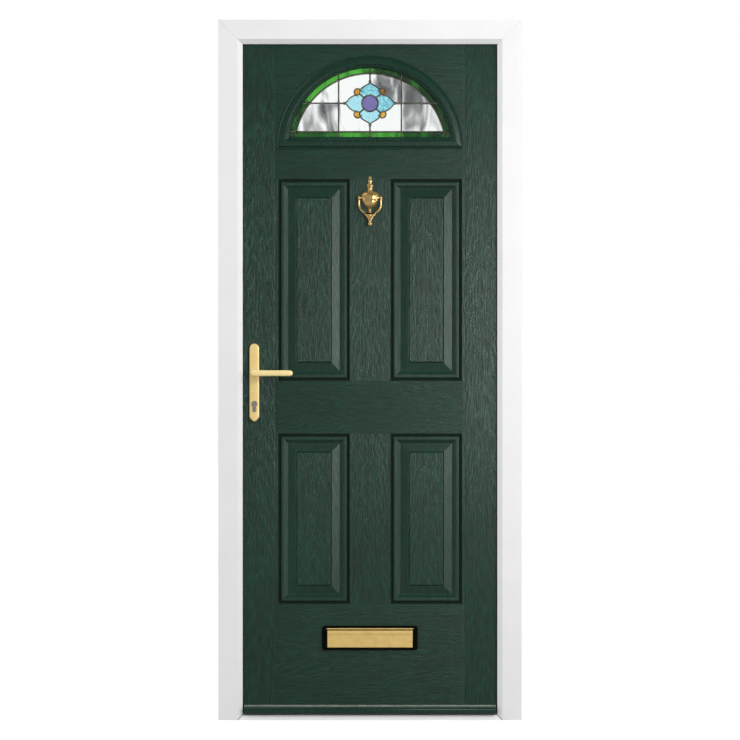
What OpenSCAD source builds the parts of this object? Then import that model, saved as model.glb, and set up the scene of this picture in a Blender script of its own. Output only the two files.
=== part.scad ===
// Composite front door with its frame, shown closed on its latch.
// Lengths are in millimetres. Seen from the street, +X is right, +Y goes indoors and +Z is up.
// The origin is the middle of the frame's underside.

/* [Frame] */
// Width over both jambs
frame_w = 910; // [850:5:1000]
// Height over all
frame_h = 2100; // [2000:5:2250]
// Depth of the hollow profile
frame_d = 70; // [68:1:80]
// Flat outer face of the profile
face_w = 58; // [56:1:64]
// Sloped band between the flat face and the lip's edge
slope_w = 15; // [13:1:18]
// Depth lost over the sloped band
slope_drop = 10; // [6:0.5:12]
// Depth of the lip's back behind the outer face
lip_t = 15; // [14:0.5:18]
// Width of the profile behind the lip
rebate_w = 55; // [53:0.5:57]
// Wall of the hollow profile
wall_t = 3; // [2.5:0.1:3.4]
// Width of the chamber that the bolts enter
bolt_chamber_w = 15; // [14:0.5:18]
// Depth of the narrow chamber behind the indoor face
rear_chamber_w = 6; // [5:0.5:8]
// Wall of the steel section
steel_t = 1.5; // [1.2:0.1:2]
// Steel stops short of the mitre by this much
steel_end = 90; // [70:5:120]
// Radius of a wall fixing hole
fixing_r = 5; // [4:0.5:6]
// Height of the lowest wall fixing
fixing_low = 200; // [160:5:230]
// Distance of the highest wall fixing below the top
fixing_top = 160; // [130:5:200]

/* [Threshold] */
// Height of the walking surface behind the nose
sill_low = 12; // [10:0.5:13]
// Wall of the hollow threshold
sill_wall = 2.5; // [2:0.1:3]
// Height of the seal strip above the nose
sill_seal_h = 6.7; // [5:0.1:9]
// Width of the seal strip
sill_seal_w = 10; // [8:0.5:12]

/* [Leaf] */
// Thickness of the leaf
leaf_t = 44; // [43:0.5:46]
// Gap between the leaf's edge and the profile
edge_gap = 8; // [7:0.5:9]
// Gap between the lip and the leaf, taken by the seal
seal_gap = 5; // [4:0.5:6]
// Thickness of a moulded skin
skin_t = 2.5; // [2:0.1:3]
// Width of the stile that takes the lock
lock_stile_w = 76; // [70:1:90]
// Width of the stile that takes the hinges
hinge_stile_w = 52; // [45:1:70]
// Height of the top rail
top_rail_h = 40; // [30:1:44]
// Height of the bottom rail
bottom_rail_h = 60; // [40:1:90]

/* [Panels] */
// Leaf edge to the panels, across
stile_face = 116; // [100:1:130]
// Flat between the left and right panels
mullion_w = 122; // [110:1:140]
// Leaf foot to the lower panels
foot_face = 325; // [300:1:345]
// Height of the lower panels
lower_panel_h = 512; // [450:1:560]
// Flat between lower and upper panels
middle_face = 158; // [130:1:180]
// Flat between the upper panels and the half-moon
frieze_face = 90; // [70:1:110]
// Width of the groove round a panel
groove_w = 11; // [8:0.5:13]
// Depth of the groove
groove_d = 5; // [3:0.5:6]
// Width of the flat bead inside the groove
bead_w = 9; // [6:0.5:12]
// Depth of the bead
bead_d = 1.5; // [0.8:0.1:2.5]
// Width of the fall from the bead
fall_w = 10; // [7:0.5:13]
// Depth at the foot of the fall
fall_d = 9; // [7.5:0.5:11]
// Width of the bevel that rises to the field
bevel_w = 25.5; // [20:0.5:32]
// Depth at the top of the bevel
bevel_d = 3; // [2:0.1:4]
// Depth of the raised field
field_d = 0.8; // [0.4:0.1:1.6]

/* [Half-moon] */
// Leaf edge to the cassette
cassette_side = 111; // [105:1:140]
// Top of the leaf to the top of the cassette
crown_gap = 43; // [41:1:60]
// Width of the cassette moulding
sight_in = 36; // [33:0.5:40]
// Height of the cassette's ridge above the leaf
ridge_h = 11.5; // [9:0.5:14]
// Cassette edge to the cut-out in the leaf
cutout_in = 13; // [11:0.5:13]
// Cassette edge to the edge of the glass
unit_in = 25; // [25:0.5:27]
// Thickness of the sealed glass unit
unit_t = 28; // [26:0.5:32]
// Thickness of a plain pane
pane_t = 4; // [3:0.5:5]
// Width of the spacer between the panes
spacer_w = 8; // [6:0.5:9]
// Radius of a cassette screw boss
boss_r = 4; // [3.5:0.1:4.5]
// Outer screws along the foot from the middle, as a share of the cassette's radius
foot_screw_share = 0.57; // [0.45:0.01:0.65]

/* [Leaded light] */
// Thickness of the leaded light
light_t = 6; // [5:0.5:7]
// Visible width of a came
came_w = 5; // [4:0.2:6]
// Web of the came between two glass pieces
heart_w = 1.4; // [1:0.1:1.8]
// Thickness of the coloured glass
glass_t = 3.4; // [2.6:0.1:3.6]
// Play of the glass in its came
glass_gap = 0.25; // [0.15:0.05:0.4]
// Width of the green border
border_w = 17; // [14:0.5:22]
// The pattern's sizes are shares of the cassette's radius
// Side upright cames from the middle
upright_share = 0.336; // [0.32:0.002:0.38]
// Middle of the flower above the cassette's foot
flower_share = 0.493; // [0.48:0.001:0.51]
// Tip of the upright petals from the middle
petal_tip_z_share = 0.235; // [0.225:0.001:0.25]
// Half width of the upright petals
petal_half_z_share = 0.11; // [0.1:0.001:0.117]
// Tip of the side petals from the middle
petal_tip_x_share = 0.274; // [0.26:0.001:0.29]
// Half width of the side petals
petal_half_x_share = 0.0925; // [0.085:0.0005:0.1]
// Widest place of a petal from the middle
petal_belly_share = 0.128; // [0.12:0.001:0.135]
// Radius of the round boss
flower_boss_share = 0.087; // [0.08:0.001:0.092]
// Radius of the amber corner pieces
amber_share = 0.039; // [0.033:0.001:0.043]

/* [Handle] */
// Leaf edge to the spindle
backset = 45; // [43:0.5:48]
// Height of the spindle
spindle_z = 1040; // [1000:5:1060]
// Spindle to cylinder
cylinder_drop = 92; // [90:0.5:94]
// Width of the backplate
plate_w = 30; // [29:0.5:34]
// Thickness of the backplate
plate_t = 10; // [9:0.5:12]
// Rounding along the backplate's edge
plate_edge = 2.5; // [1.5:0.5:3.5]
// Wall of the cast backplate
plate_wall = 2.5; // [2:0.1:3]
// Backplate above the spindle
plate_up = 89; // [86:1:95]
// Backplate below the spindle
plate_down = 144.5; // [142:0.5:150]
// Upper handle bolt above the spindle
bolt_up = 77; // [72:1:78]
// Lower handle bolt below the spindle
bolt_down = 131; // [129.5:0.5:134]
// Radius of the lever's journal in the backplate
journal_r = 9; // [8:0.5:10]
// Length of the neck between backplate and lever
neck_l = 25; // [20:1:30]
// Reach of the lever from the spindle
lever_l = 116; // [100:1:125]
// Height of the lever at its root
lever_h = 20; // [18:0.5:22]
// Thickness of the lever
lever_t = 12; // [10:0.5:14]
// Side of the square spindle
spindle_w = 8; // [7:0.5:8.5]

/* [Lock] */
// Width of the faceplate
faceplate_w = 20; // [18:0.5:22]
// Thickness of the faceplate
faceplate_t = 3; // [2.5:0.1:3.5]
// Foot of the leaf to the faceplate
faceplate_foot = 238; // [200:1:280]
// Top of the leaf to the faceplate
faceplate_top = 257; // [210:1:300]
// Thickness of the lock cases
case_t = 16; // [15.5:0.1:17]
// Sheet of the lock cases
case_wall = 1.5; // [1.2:0.1:1.7]
// Depth of the gearbox behind the faceplate
gearbox_l = 60; // [59:0.5:64]
// Thickness of the bolts and hooks
bolt_t = 12; // [10:0.5:12]
// Height of the latch above the spindle
latch_up = 22; // [21:0.5:24]
// Height of the latch
latch_h = 16; // [14:0.5:17]
// Reach of the latch beyond the faceplate
latch_reach = 11; // [9:0.5:12]
// Height of the dead bolt below the spindle
dead_down = 50; // [46:0.5:54]
// Height of the dead bolt
dead_h = 26; // [20:0.5:28]
// Hooks from the ends of the faceplate
hook_end = 200; // [170:5:230]
// Hook pivot behind the leaf's edge
hook_in = 18; // [17:0.5:19]
// Length of the hook's arm
hook_l = 36; // [35:0.5:37]
// Radius of the hook pivot
hook_pin_r = 3; // [2.5:0.1:3.5]
// Thickness of a keep
keep_t = 3; // [2:0.1:3.5]
// Width of a keep
keep_w = 24; // [22:0.5:26]
// Travel of the drive rods
rod_travel = 18; // [15:0.5:19]
// Radius of the cylinder's round part
cylinder_r = 8.5; // [8.2:0.1:8.8]
// Radius of the turning plug
plug_r = 6.5; // [6:0.1:7]

/* [Letterplate] */
// Surround beyond the post slot at each end
letter_side = 20; // [19:0.5:24]
// Height of the outer surround
letter_h = 72; // [70:1:78]
// Height of its middle
letter_z = 246; // [230:1:250]
// Thickness of the surround
letter_t = 8; // [7.5:0.1:9.5]
// Window for the flap beyond the post slot at each end
window_side = 7.5; // [7:0.1:8.5]
// Height of the window for the flap
window_h = 60; // [58:0.5:62]
// Gap round the flap in its window
flap_gap = 1.2; // [0.8:0.1:1.6]
// Thickness of the flap
flap_t = 3; // [2:0.1:3.2]
// Radius of the roll along the flap's top
roll_r = 2.2; // [2:0.1:2.4]
// Radius of the flap's pivots
flap_pin_r = 1.5; // [1.2:0.1:1.6]
// Width of the post slot
slot_w = 246; // [230:1:246]
// Height of the post slot
slot_h = 36; // [34:0.5:40]
// Wall of the sleeve through the leaf
sleeve_t = 2; // [1.5:0.1:2.5]

/* [Knocker] */
// Pivot below the top of the upper panels
knocker_down = 57; // [50:1:80]
// Pivot in front of the leaf
knocker_out = 14; // [13:0.5:16]
// Half the distance between the clapper's arms
arm_x = 33; // [33:0.5:35]
// Radius of the clapper's arms
arm_r = 2.8; // [2.4:0.1:3]
// Radius of the knocker's pivots
knocker_pin_r = 2.4; // [2:0.1:2.6]
// Radius of the clapper's ball
ball_r = 6.5; // [5.5:0.1:7]

/* [Hinges] */
// Radius of the knuckles
knuckle_r = 8; // [7.5:0.1:9]
// Radius of the pins
hinge_pin_r = 4; // [3:0.1:4.5]
// Height of a hinge
hinge_h = 92; // [80:1:110]
// Thickness of the hinge plates
hinge_t = 3.5; // [3:0.1:4.5]
// Width of the hinge plates
hinge_plate_w = 36; // [32:0.5:40]
// Height of the lowest hinge
hinge_low = 260; // [220:5:320]
// Distance of the highest hinge below the top
hinge_top = 300; // [240:5:380]

/* [Weather bar] */
// Height of the weather bar
bar_h = 22.5; // [18:0.5:28]
// Reach of the weather bar in front of the leaf
bar_out = 24; // [21:0.5:30]
// Gap between its end and the frame's lip
bar_gap = 4; // [3:0.5:6]

/* [Fasteners and fits] */
// Radius of a wood screw
screw_r = 2; // [1.5:0.1:2.2]
// Radius of a screw head
screw_head_r = 4; // [3.5:0.1:4.2]
// Radius of a through bolt
bolt_r = 2.5; // [2:0.1:2.6]
// Radius of a through bolt's head
bolt_head_r = 4.5; // [4:0.1:4.8]
// Gap between pieces that move past each other
run_gap = 0.3; // [0.25:0.05:0.4]
// Play of a pin in its bore
pin_gap = 0.06; // [0.04:0.01:0.08]
// Play of a piece in its pocket
fit_gap = 0.4; // [0.3:0.05:0.5]
// Play of a screw in its hole
screw_gap = 0.15; // [0.1:0.05:0.2]

/* [Hidden] */
$fn = 72;
far = 400;
frame_x = frame_w / 2;
out_y = -frame_d / 2;
lip_w = face_w + slope_w;
lip_x = frame_x - lip_w;
rebate_x = frame_x - rebate_w;
steel_w = rebate_w - 3 * wall_t - bolt_chamber_w;
steel_h = frame_d - lip_t - 2 * wall_t - rear_chamber_w;
sill_h = slope_w;
fixings = [for (i = [0:3]) fixing_low + i * (frame_h - fixing_top - fixing_low) / 3];

leaf_x = rebate_x - edge_gap;
leaf_y0 = out_y + lip_t + seal_gap;
leaf_y1 = leaf_y0 + leaf_t;
leaf_mid = (leaf_y0 + leaf_y1) / 2;
leaf_z0 = sill_h + sill_seal_h + run_gap;
leaf_z1 = frame_h - rebate_w - edge_gap;
core_y0 = leaf_y0 + skin_t;
core_y1 = leaf_y1 - skin_t;

cassette_r = leaf_x - cassette_side;
arch_z = leaf_z1 - crown_gap - cassette_r;
unit_y0 = leaf_mid - unit_t / 2;
unit_y1 = leaf_mid + unit_t / 2;
light_y0 = leaf_mid - light_t / 2;
light_y1 = leaf_mid + light_t / 2;
border_in = sight_in + border_w;
rim_in = unit_in + 1;
upright_x = upright_share * cassette_r;
flower_up = flower_share * cassette_r;
flower_z = arch_z + flower_up;
petal_tip_z = petal_tip_z_share * cassette_r;
petal_half_z = petal_half_z_share * cassette_r;
petal_tip_x = petal_tip_x_share * cassette_r;
petal_half_x = petal_half_x_share * cassette_r;
petal_belly = petal_belly_share * cassette_r;
flower_boss_r = flower_boss_share * cassette_r;
amber_r = amber_share * cassette_r;
screw_in = (cutout_in + unit_in) / 2;
arch_screws = [22, 56, 90, 124, 158];
foot_screw_x = foot_screw_share * cassette_r;
foot_screws = [-foot_screw_x, 0, foot_screw_x];
mitre_lap = 0.3;

panel_w = leaf_x - stile_face - mullion_w / 2;
lower_z = leaf_z0 + foot_face;
upper_z = lower_z + lower_panel_h + middle_face;
upper_top = arch_z - frieze_face;
panels = [for (x = [-mullion_w / 2 - panel_w, mullion_w / 2])
    for (zh = [[lower_z, lower_panel_h], [upper_z, upper_top - upper_z]]) [x, zh[0], zh[1]]];
bead_in = groove_w + bead_w;
fall_in = bead_in + fall_w;
bevel_in = fall_in + bevel_w;
// Face of a panel as inset from its edge and depth below the leaf's face
face_steps = [[0, -1], [0, 0], [2, groove_d], [groove_w - 3, groove_d], [groove_w, bead_d],
    [bead_in, bead_d], [fall_in, fall_d], [bevel_in, bevel_d], [bevel_in + 2, field_d]];
// Back of the skin behind a panel, in the same terms
back_steps = [[-skin_t, skin_t / 2], [-0.5, groove_d + skin_t], [bead_in - 1.5, groove_d + skin_t],
    [fall_in - 1.5, fall_d + skin_t], [fall_in + 1.5, fall_d + skin_t],
    [bevel_in + 1, bevel_d + skin_t], [bevel_in + 4, field_d + skin_t]];

spindle_x = -leaf_x + backset;
cylinder_z = spindle_z - cylinder_drop;
plate_y = leaf_y0 - plate_t;
lever_y = plate_y - neck_l - lever_t / 2;
plate_discs = [[spindle_z + plate_up - plate_w / 2, plate_w / 2],
    [spindle_z - plate_down + 0.63 * plate_w, plate_w / 2],
    [spindle_z - plate_down + plate_w / 6, plate_w / 6]];
handle_bolts = [spindle_z + bolt_up, spindle_z - bolt_down];

face_z0 = leaf_z0 + faceplate_foot;
face_z1 = leaf_z1 - faceplate_top;
case_x = -leaf_x + faceplate_t;
case_y0 = leaf_mid - case_t / 2;
gearbox_z0 = cylinder_z - 33;
gearbox_z1 = spindle_z + latch_up + 38;
hook_x = -leaf_x + hook_in;
hooks = [face_z0 + hook_end, face_z1 - hook_end];
hook_case_l = 34;
hook_hub_r = 9;
hook_case_up = 45;
latch_z = spindle_z + latch_up;
dead_z = spindle_z - dead_down;
cylinder_screw_z = cylinder_z - cylinder_r - 11.5;
rod_x0 = case_x + 0.5;
rod_w = 10;
rod_t = 3;
face_screws = [face_z0 + 15, face_z0 + 0.55 * hook_end, face_z1 - 0.5 * hook_end, face_z1 - 15];
// Openings in the faceplate, jamb and centre keep as middle and half height
latch_slot = [latch_z, latch_h / 2 + 1];
dead_slot = [dead_z, dead_h / 2 + 1];
slot_y = bolt_t / 2 + 1;

letter_w = slot_w + 2 * letter_side;
window_w = slot_w + 2 * window_side;
flap_w = window_w - 5;
roll_z = letter_z + window_h / 2 - 0.6 - roll_r;
roll_y = leaf_y0 - letter_t + roll_r;
flap_z0 = letter_z - window_h / 2 + flap_gap;
window_back = 2;
letter_bolt_x = (window_w / 2 + letter_w / 2) / 2;
letter_bolt_z = letter_z - 8;

knocker_z = upper_top - knocker_down;
knocker_y = leaf_y0 - knocker_out;
strike_z = knocker_z - 78;
urn_bolt_z = knocker_z + 9;

hinge_x = leaf_x + edge_gap / 2;
hinge_y = frame_d / 2 + knuckle_r + 1;
hinge_high = frame_h - hinge_top;
hinges = [hinge_low, (hinge_low + hinge_high) / 2, hinge_high];
hinge_third = hinge_h / 6;
frame_plate_x = hinge_x + knuckle_r + 1;
door_plate_x = leaf_x - 1;
hinge_screws = [-0.35 * hinge_h, 0, 0.35 * hinge_h];
bar_x = lip_x - bar_gap;

// A box from its low corner to its high corner
module box(low, high) translate(low) cube(high - low);

// An outline in X and Z, pushed from y0 to y1
module along_y(y0, y1) translate([0, y1, 0]) rotate([90, 0, 0]) linear_extrude(y1 - y0) children();

// An outline in Y and Z, pushed from x0 to x1
module along_x(x0, x1) translate([x0, 0, 0]) rotate([90, 0, 90]) linear_extrude(x1 - x0) children();

// Round bars along X and Y
module rod_x(p, length, r) translate(p) rotate([0, 90, 0]) cylinder(r = r, h = length);
module rod_y(p, length, r) translate(p) rotate([-90, 0, 0]) cylinder(r = r, h = length);

// A piece and its mirror image across the middle of the door
module both_sides() {
    children();
    mirror([1, 0, 0]) children();
}

// The same piece on the indoor face of the leaf
module indoors() translate([0, 2 * leaf_mid, 0]) mirror([0, 1, 0]) children();

// A rectangle with round corners about the origin
module round_rect(w, h, r) {
    square([w - 2 * r, h], center = true);
    square([w, h - 2 * r], center = true);
    for (x = [-1, 1])
        for (y = [-1, 1])
            translate([x * (w / 2 - r), y * (h / 2 - r)]) circle(r = r);
}

function arc(x, y, r, a0, a1, n) = [for (i = [0:n]) let (a = a0 + (a1 - a0) * i / n)
    [x + r * cos(a), y + r * sin(a)]];

function bezier(p, n) = [for (i = [0:n]) let (t = i / n, s = 1 - t)
    s * s * s * p[0] + 3 * s * s * t * p[1] + 3 * s * t * t * p[2] + t * t * t * p[3]];

// A countersunk screw along +Z from its flat head, or its hole when grown
module screw(length, grow = 0) {
    rotate_extrude()
        polygon([[0, -2 * grow], [screw_head_r + grow, -2 * grow], [screw_head_r + grow, 0.3],
            [screw_r + grow, 2.5], [screw_r + grow, length - 2], [0, length + grow]]);
}

// Frame: one hollow profile, drawn as width from its outer edge and depth from its outer face

module profile_outline() {
    polygon([[0, 0], [face_w, 0], [lip_w, slope_drop], [lip_w, lip_t], [rebate_w, lip_t],
        [rebate_w, frame_d], [0, frame_d]]);
}

module steel_chamber(g) {
    translate([wall_t + g, lip_t + g]) square([steel_w - 2 * g, steel_h - 2 * g]);
}

module profile() {
    difference() {
        profile_outline();
        translate([wall_t, wall_t]) square([face_w - 2 * wall_t, lip_t - 2 * wall_t]);
        steel_chamber(0);
        translate([rebate_w - wall_t - bolt_chamber_w, lip_t + wall_t])
            square([bolt_chamber_w, frame_d - lip_t - 2 * wall_t]);
        translate([wall_t, frame_d - wall_t - rear_chamber_w]) square([steel_w, rear_chamber_w]);
    }
}

module steel_section() {
    difference() {
        steel_chamber(fit_gap);
        steel_chamber(fit_gap + steel_t);
    }
}

module fixing_holes() {
    for (z = fixings) rod_x([-frame_x - 1, leaf_mid, z], rebate_w + 2, fixing_r);
}

// Left jamb with its mitres, to the head above and the threshold's nose below
module jamb() {
    difference() {
        intersection() {
            translate([-frame_x, out_y, 0]) linear_extrude(frame_h) profile();
            along_y(out_y - 1, 1 - out_y)
                polygon([[-frame_x, 0], [-frame_x + face_w, 0], [-lip_x, sill_h],
                    [-lip_x, frame_h - lip_w], [-frame_x, frame_h]]);
        }
        fixing_holes();
    }
}

module keep_slot(z, half_h, y_half) {
    box([-rebate_x - wall_t - 1, leaf_mid - y_half, z - half_h],
        [-rebate_x + keep_t + 1, leaf_mid + y_half, z + half_h]);
}

module bolt_slots() {
    keep_slot(latch_slot[0], latch_slot[1], slot_y);
    keep_slot(dead_slot[0], dead_slot[1], slot_y);
}

module hook_slots() {
    for (z = hooks) keep_slot(z + 12.5, 21, slot_y);
}

module keep_screw_places() {
    for (z = [dead_z - dead_h / 2 - 14, (dead_z + latch_z) / 2, latch_z + latch_h / 2 + 14,
            hooks[0] - 24, hooks[0] + 48, hooks[1] - 24, hooks[1] + 48])
        translate([-rebate_x + keep_t, leaf_mid, z]) rotate([0, -90, 0]) children();
}

module hinge_frame_screw_places() {
    for (h = hinges)
        for (z = hinge_screws)
            translate([frame_plate_x + hinge_plate_w * 0.62, frame_d / 2 + hinge_t, h + z])
                rotate([90, 0, 0]) children();
}

module lock_jamb() color([0.94, 0.94, 0.93]) difference() {
    jamb();
    bolt_slots();
    hook_slots();
    keep_screw_places() screw(13, screw_gap);
}

module hinge_jamb() color([0.94, 0.94, 0.93]) difference() {
    mirror([1, 0, 0]) jamb();
    hinge_frame_screw_places() screw(10, screw_gap);
}

module frame_head() color([0.94, 0.94, 0.93]) intersection() {
    translate([-frame_x, out_y, frame_h]) rotate([0, 90, 0]) linear_extrude(frame_w) profile();
    along_y(out_y - 1, 1 - out_y)
        polygon([[-frame_x, frame_h], [frame_x, frame_h], [lip_x, frame_h - lip_w],
            [-lip_x, frame_h - lip_w]]);
}

module frame_reinforcement() color([0.62, 0.64, 0.66]) {
    both_sides() difference() {
        translate([-frame_x, out_y, steel_end / 3])
            linear_extrude(frame_h - steel_end * 4 / 3) steel_section();
        fixing_holes();
    }
    translate([-frame_x + steel_end, out_y, frame_h]) rotate([0, 90, 0])
        linear_extrude(frame_w - 2 * steel_end) steel_section();
}

module sill_outline() {
    polygon([[out_y, 0], [out_y + slope_drop, sill_h], [leaf_y0 + 8, sill_h], [leaf_y0 + 11, sill_low],
        [-out_y - 2, sill_low], [-out_y, sill_low - 2], [-out_y, 0]]);
}

// The nose is cut back on a mitre where the jambs' lips come down
module threshold() color([0.94, 0.94, 0.93]) difference() {
    along_x(-rebate_x, rebate_x) difference() {
        sill_outline();
        offset(delta = -sill_wall) sill_outline();
    }
    both_sides() along_y(out_y - 1, out_y + lip_t)
        polygon([[-rebate_x - 1, -1], [-frame_x + face_w - 1, -1], [-lip_x + 1, sill_h + 1],
            [-rebate_x - 1, sill_h + 1]]);
}

module frame_seal() color([0.07, 0.08, 0.08]) along_y(out_y + lip_t, leaf_y0 - run_gap) difference() {
    translate([-lip_x - 6, leaf_z0]) square([2 * lip_x + 12, frame_h - lip_w + 6 - leaf_z0]);
    translate([-lip_x - 0.5, 0]) square([2 * lip_x + 1, frame_h - lip_w + 0.5]);
}

module threshold_seal() color([0.45, 0.46, 0.47]) along_x(-rebate_x + 0.5, rebate_x - 0.5)
    translate([leaf_y0 - 3, sill_h])
        polygon([[0, 0], [sill_seal_w, 0], [sill_seal_w, sill_seal_h - 2],
            [sill_seal_w - 2, sill_seal_h], [2, sill_seal_h], [0, sill_seal_h - 2]]);

module keep_plate(z0, z1) {
    box([-rebate_x, leaf_mid - keep_w / 2, z0], [-rebate_x + keep_t, leaf_mid + keep_w / 2, z1]);
}

module centre_keep() color([0.72, 0.73, 0.74]) difference() {
    keep_plate(dead_z - dead_h / 2 - 22, latch_z + latch_h / 2 + 22);
    bolt_slots();
    keep_screw_places() screw(13, screw_gap);
}

module hook_keeps() color([0.72, 0.73, 0.74]) difference() {
    for (z = hooks) keep_plate(z - 34, z + 58);
    hook_slots();
    keep_screw_places() screw(13, screw_gap);
}

module frame_screws() color([0.7, 0.71, 0.72]) {
    keep_screw_places() screw(13);
    hinge_frame_screw_places() screw(10);
}

// Hinges: the frame leaf has the outer knuckles, the door leaf the middle one

module frame_knuckle() {
    translate([hinge_x, hinge_y]) circle(r = knuckle_r);
    polygon([[hinge_x + 3, hinge_y + knuckle_r - 1], [frame_plate_x + 9, frame_d / 2 + hinge_t],
        [frame_plate_x + 9, frame_d / 2], [hinge_x + 5, frame_d / 2], [hinge_x, hinge_y - knuckle_r + 2]]);
}

module door_knuckle() {
    translate([hinge_x, hinge_y]) circle(r = knuckle_r);
    polygon([[hinge_x - knuckle_r + 1, hinge_y + 3], [door_plate_x - 12, leaf_y1 + hinge_t],
        [door_plate_x - 12, leaf_y1], [door_plate_x, leaf_y1], [hinge_x, hinge_y - knuckle_r + 1]]);
}

module hinge_bore(h) translate([hinge_x, hinge_y, h - hinge_h])
    cylinder(r = hinge_pin_r + pin_gap, h = 2 * hinge_h);

module hinge_frame_leaves() color([0.9, 0.9, 0.89]) for (h = hinges) difference() {
    union() {
        for (z = [-hinge_h / 2, hinge_third + run_gap])
            translate([0, 0, h + z]) linear_extrude(hinge_h / 2 - hinge_third - run_gap) frame_knuckle();
        box([frame_plate_x, frame_d / 2, h - hinge_h / 2],
            [frame_plate_x + hinge_plate_w, frame_d / 2 + hinge_t, h + hinge_h / 2]);
    }
    hinge_bore(h);
    hinge_frame_screw_places() screw(10, screw_gap);
}

module hinge_pins() color([0.75, 0.76, 0.77]) for (h = hinges) translate([hinge_x, hinge_y, h - hinge_h / 2])
    rotate_extrude() polygon([[0, -4], [knuckle_r - 3, -4], [knuckle_r - 1.5, -2.5], [knuckle_r - 1.5, 0],
        [hinge_pin_r, 0], [hinge_pin_r, hinge_h], [knuckle_r - 1.5, hinge_h],
        [knuckle_r - 1.5, hinge_h + 2.5], [knuckle_r - 3, hinge_h + 4], [0, hinge_h + 4]]);

module hinge_door_screw_places() {
    for (h = hinges)
        for (z = hinge_screws)
            translate([door_plate_x - hinge_plate_w * 0.7, leaf_y1 + hinge_t, h + z])
                rotate([90, 0, 0]) children();
}

module hinge_door_leaves() color([0.9, 0.9, 0.89]) for (h = hinges) difference() {
    union() {
        translate([0, 0, h - hinge_third]) linear_extrude(2 * hinge_third) door_knuckle();
        box([door_plate_x - hinge_plate_w, leaf_y1, h - hinge_h / 2],
            [door_plate_x, leaf_y1 + hinge_t, h + hinge_h / 2]);
    }
    hinge_bore(h);
    hinge_door_screw_places() screw(32, screw_gap);
}

// Leaf: moulded skins over stiles, rails and foam

// A stack of rectangular rings in a panel of w by h, each ring an inset and a depth
module relief(w, h, steps) {
    n = len(steps);
    points = [for (s = steps) for (p = [[0, 0], [1, 0], [1, 1], [0, 1]])
        [s[0] + p[0] * (w - 2 * s[0]), s[1], s[0] + p[1] * (h - 2 * s[0])]];
    sides = [for (i = [0:n - 2]) for (k = [0:3]) let (m = (k + 1) % 4)
        [4 * i + k, 4 * i + m, 4 * i + 4 + m, 4 * i + 4 + k]];
    last = 4 * n - 4;
    polyhedron(points, concat([[3, 2, 1, 0]], sides, [[last, last + 1, last + 2, last + 3]]));
}

module panel_reliefs(steps) {
    for (p = panels) translate([p[0], leaf_y0, p[1]]) relief(panel_w, p[2], steps);
}

// The half-moon outline, drawn this far inside the cassette's edge
module half_moon(inset) {
    translate([0, arch_z]) intersection() {
        circle(r = cassette_r - inset, $fn = 96);
        translate([-cassette_r, inset]) square([2 * cassette_r, cassette_r]);
    }
}

module euro_outline(grow) {
    translate([spindle_x, cylinder_z]) {
        circle(r = cylinder_r + grow);
        translate([-5 - grow, -cylinder_r - 11]) square([10 + 2 * grow, cylinder_r + 11]);
        translate([0, -cylinder_r - 11]) circle(r = 5 + grow);
    }
}

// Everything that is cut right through the leaf
module leaf_openings() {
    along_y(leaf_y0 - 5, leaf_y1 + 5) {
        half_moon(cutout_in);
        translate([0, letter_z])
            square([slot_w + 2 * (sleeve_t + fit_gap), slot_h + 2 * (sleeve_t + fit_gap)], center = true);
        euro_outline(1);
        translate([spindle_x, spindle_z]) circle(r = journal_r + 1);
        for (z = handle_bolts) translate([spindle_x, z]) circle(r = bolt_r + 0.5);
        for (x = [-1, 1]) translate([x * letter_bolt_x, letter_bolt_z]) circle(r = bolt_r + 0.5);
        for (z = [urn_bolt_z, strike_z]) translate([0, z]) circle(r = bolt_r + 0.5);
    }
}

module leaf_slab(y0, y1) box([-leaf_x, y0, leaf_z0], [leaf_x, y1, leaf_z1]);

module moulded_skin() difference() {
    union() {
        leaf_slab(leaf_y0, core_y0);
        panel_reliefs(back_steps);
    }
    panel_reliefs(face_steps);
    leaf_openings();
}

module outer_skin() color([0.15, 0.23, 0.19]) moulded_skin();

module inner_skin() color([0.93, 0.93, 0.92]) difference() {
    indoors() moulded_skin();
    hinge_door_screw_places() screw(32, screw_gap);
}

module foam_core() color([0.92, 0.86, 0.66]) difference() {
    box([-leaf_x + lock_stile_w, core_y0, leaf_z0 + bottom_rail_h],
        [leaf_x - hinge_stile_w, core_y1, leaf_z1 - top_rail_h]);
    panel_reliefs(back_steps);
    indoors() panel_reliefs(back_steps);
    leaf_openings();
}

module lock_pocket(z0, z1, depth) {
    box([-leaf_x - 1, case_y0 - fit_gap, z0 - fit_gap],
        [case_x + depth + fit_gap, case_y0 + case_t + fit_gap, z1 + fit_gap]);
}

module face_screw_places() {
    for (z = face_screws) translate([-leaf_x, leaf_mid, z]) rotate([0, 90, 0]) children();
}

module lock_stile() color([0.72, 0.55, 0.36]) difference() {
    box([-leaf_x, core_y0, leaf_z0], [-leaf_x + lock_stile_w, core_y1, leaf_z1]);
    box([-leaf_x - 1, leaf_mid - faceplate_w / 2 - fit_gap, face_z0 - fit_gap],
        [case_x, leaf_mid + faceplate_w / 2 + fit_gap, face_z1 + fit_gap]);
    lock_pocket(gearbox_z0, gearbox_z1, gearbox_l);
    for (z = hooks) lock_pocket(z - hook_case_up, z + hook_case_up, hook_case_l);
    box([case_x - 1, leaf_mid - rod_w / 2 - 1, hooks[0]],
        [rod_x0 + rod_t + 1, leaf_mid + rod_w / 2 + 1, hooks[1]]);
    face_screw_places() screw(32, screw_gap);
    leaf_openings();
}

module hinge_stile() color([0.72, 0.55, 0.36]) difference() {
    box([leaf_x - hinge_stile_w, core_y0, leaf_z0], [leaf_x, core_y1, leaf_z1]);
    hinge_door_screw_places() screw(32, screw_gap);
}

module rail(z0, z1) {
    box([-leaf_x + lock_stile_w, core_y0, z0], [leaf_x - hinge_stile_w, core_y1, z1]);
}

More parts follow.
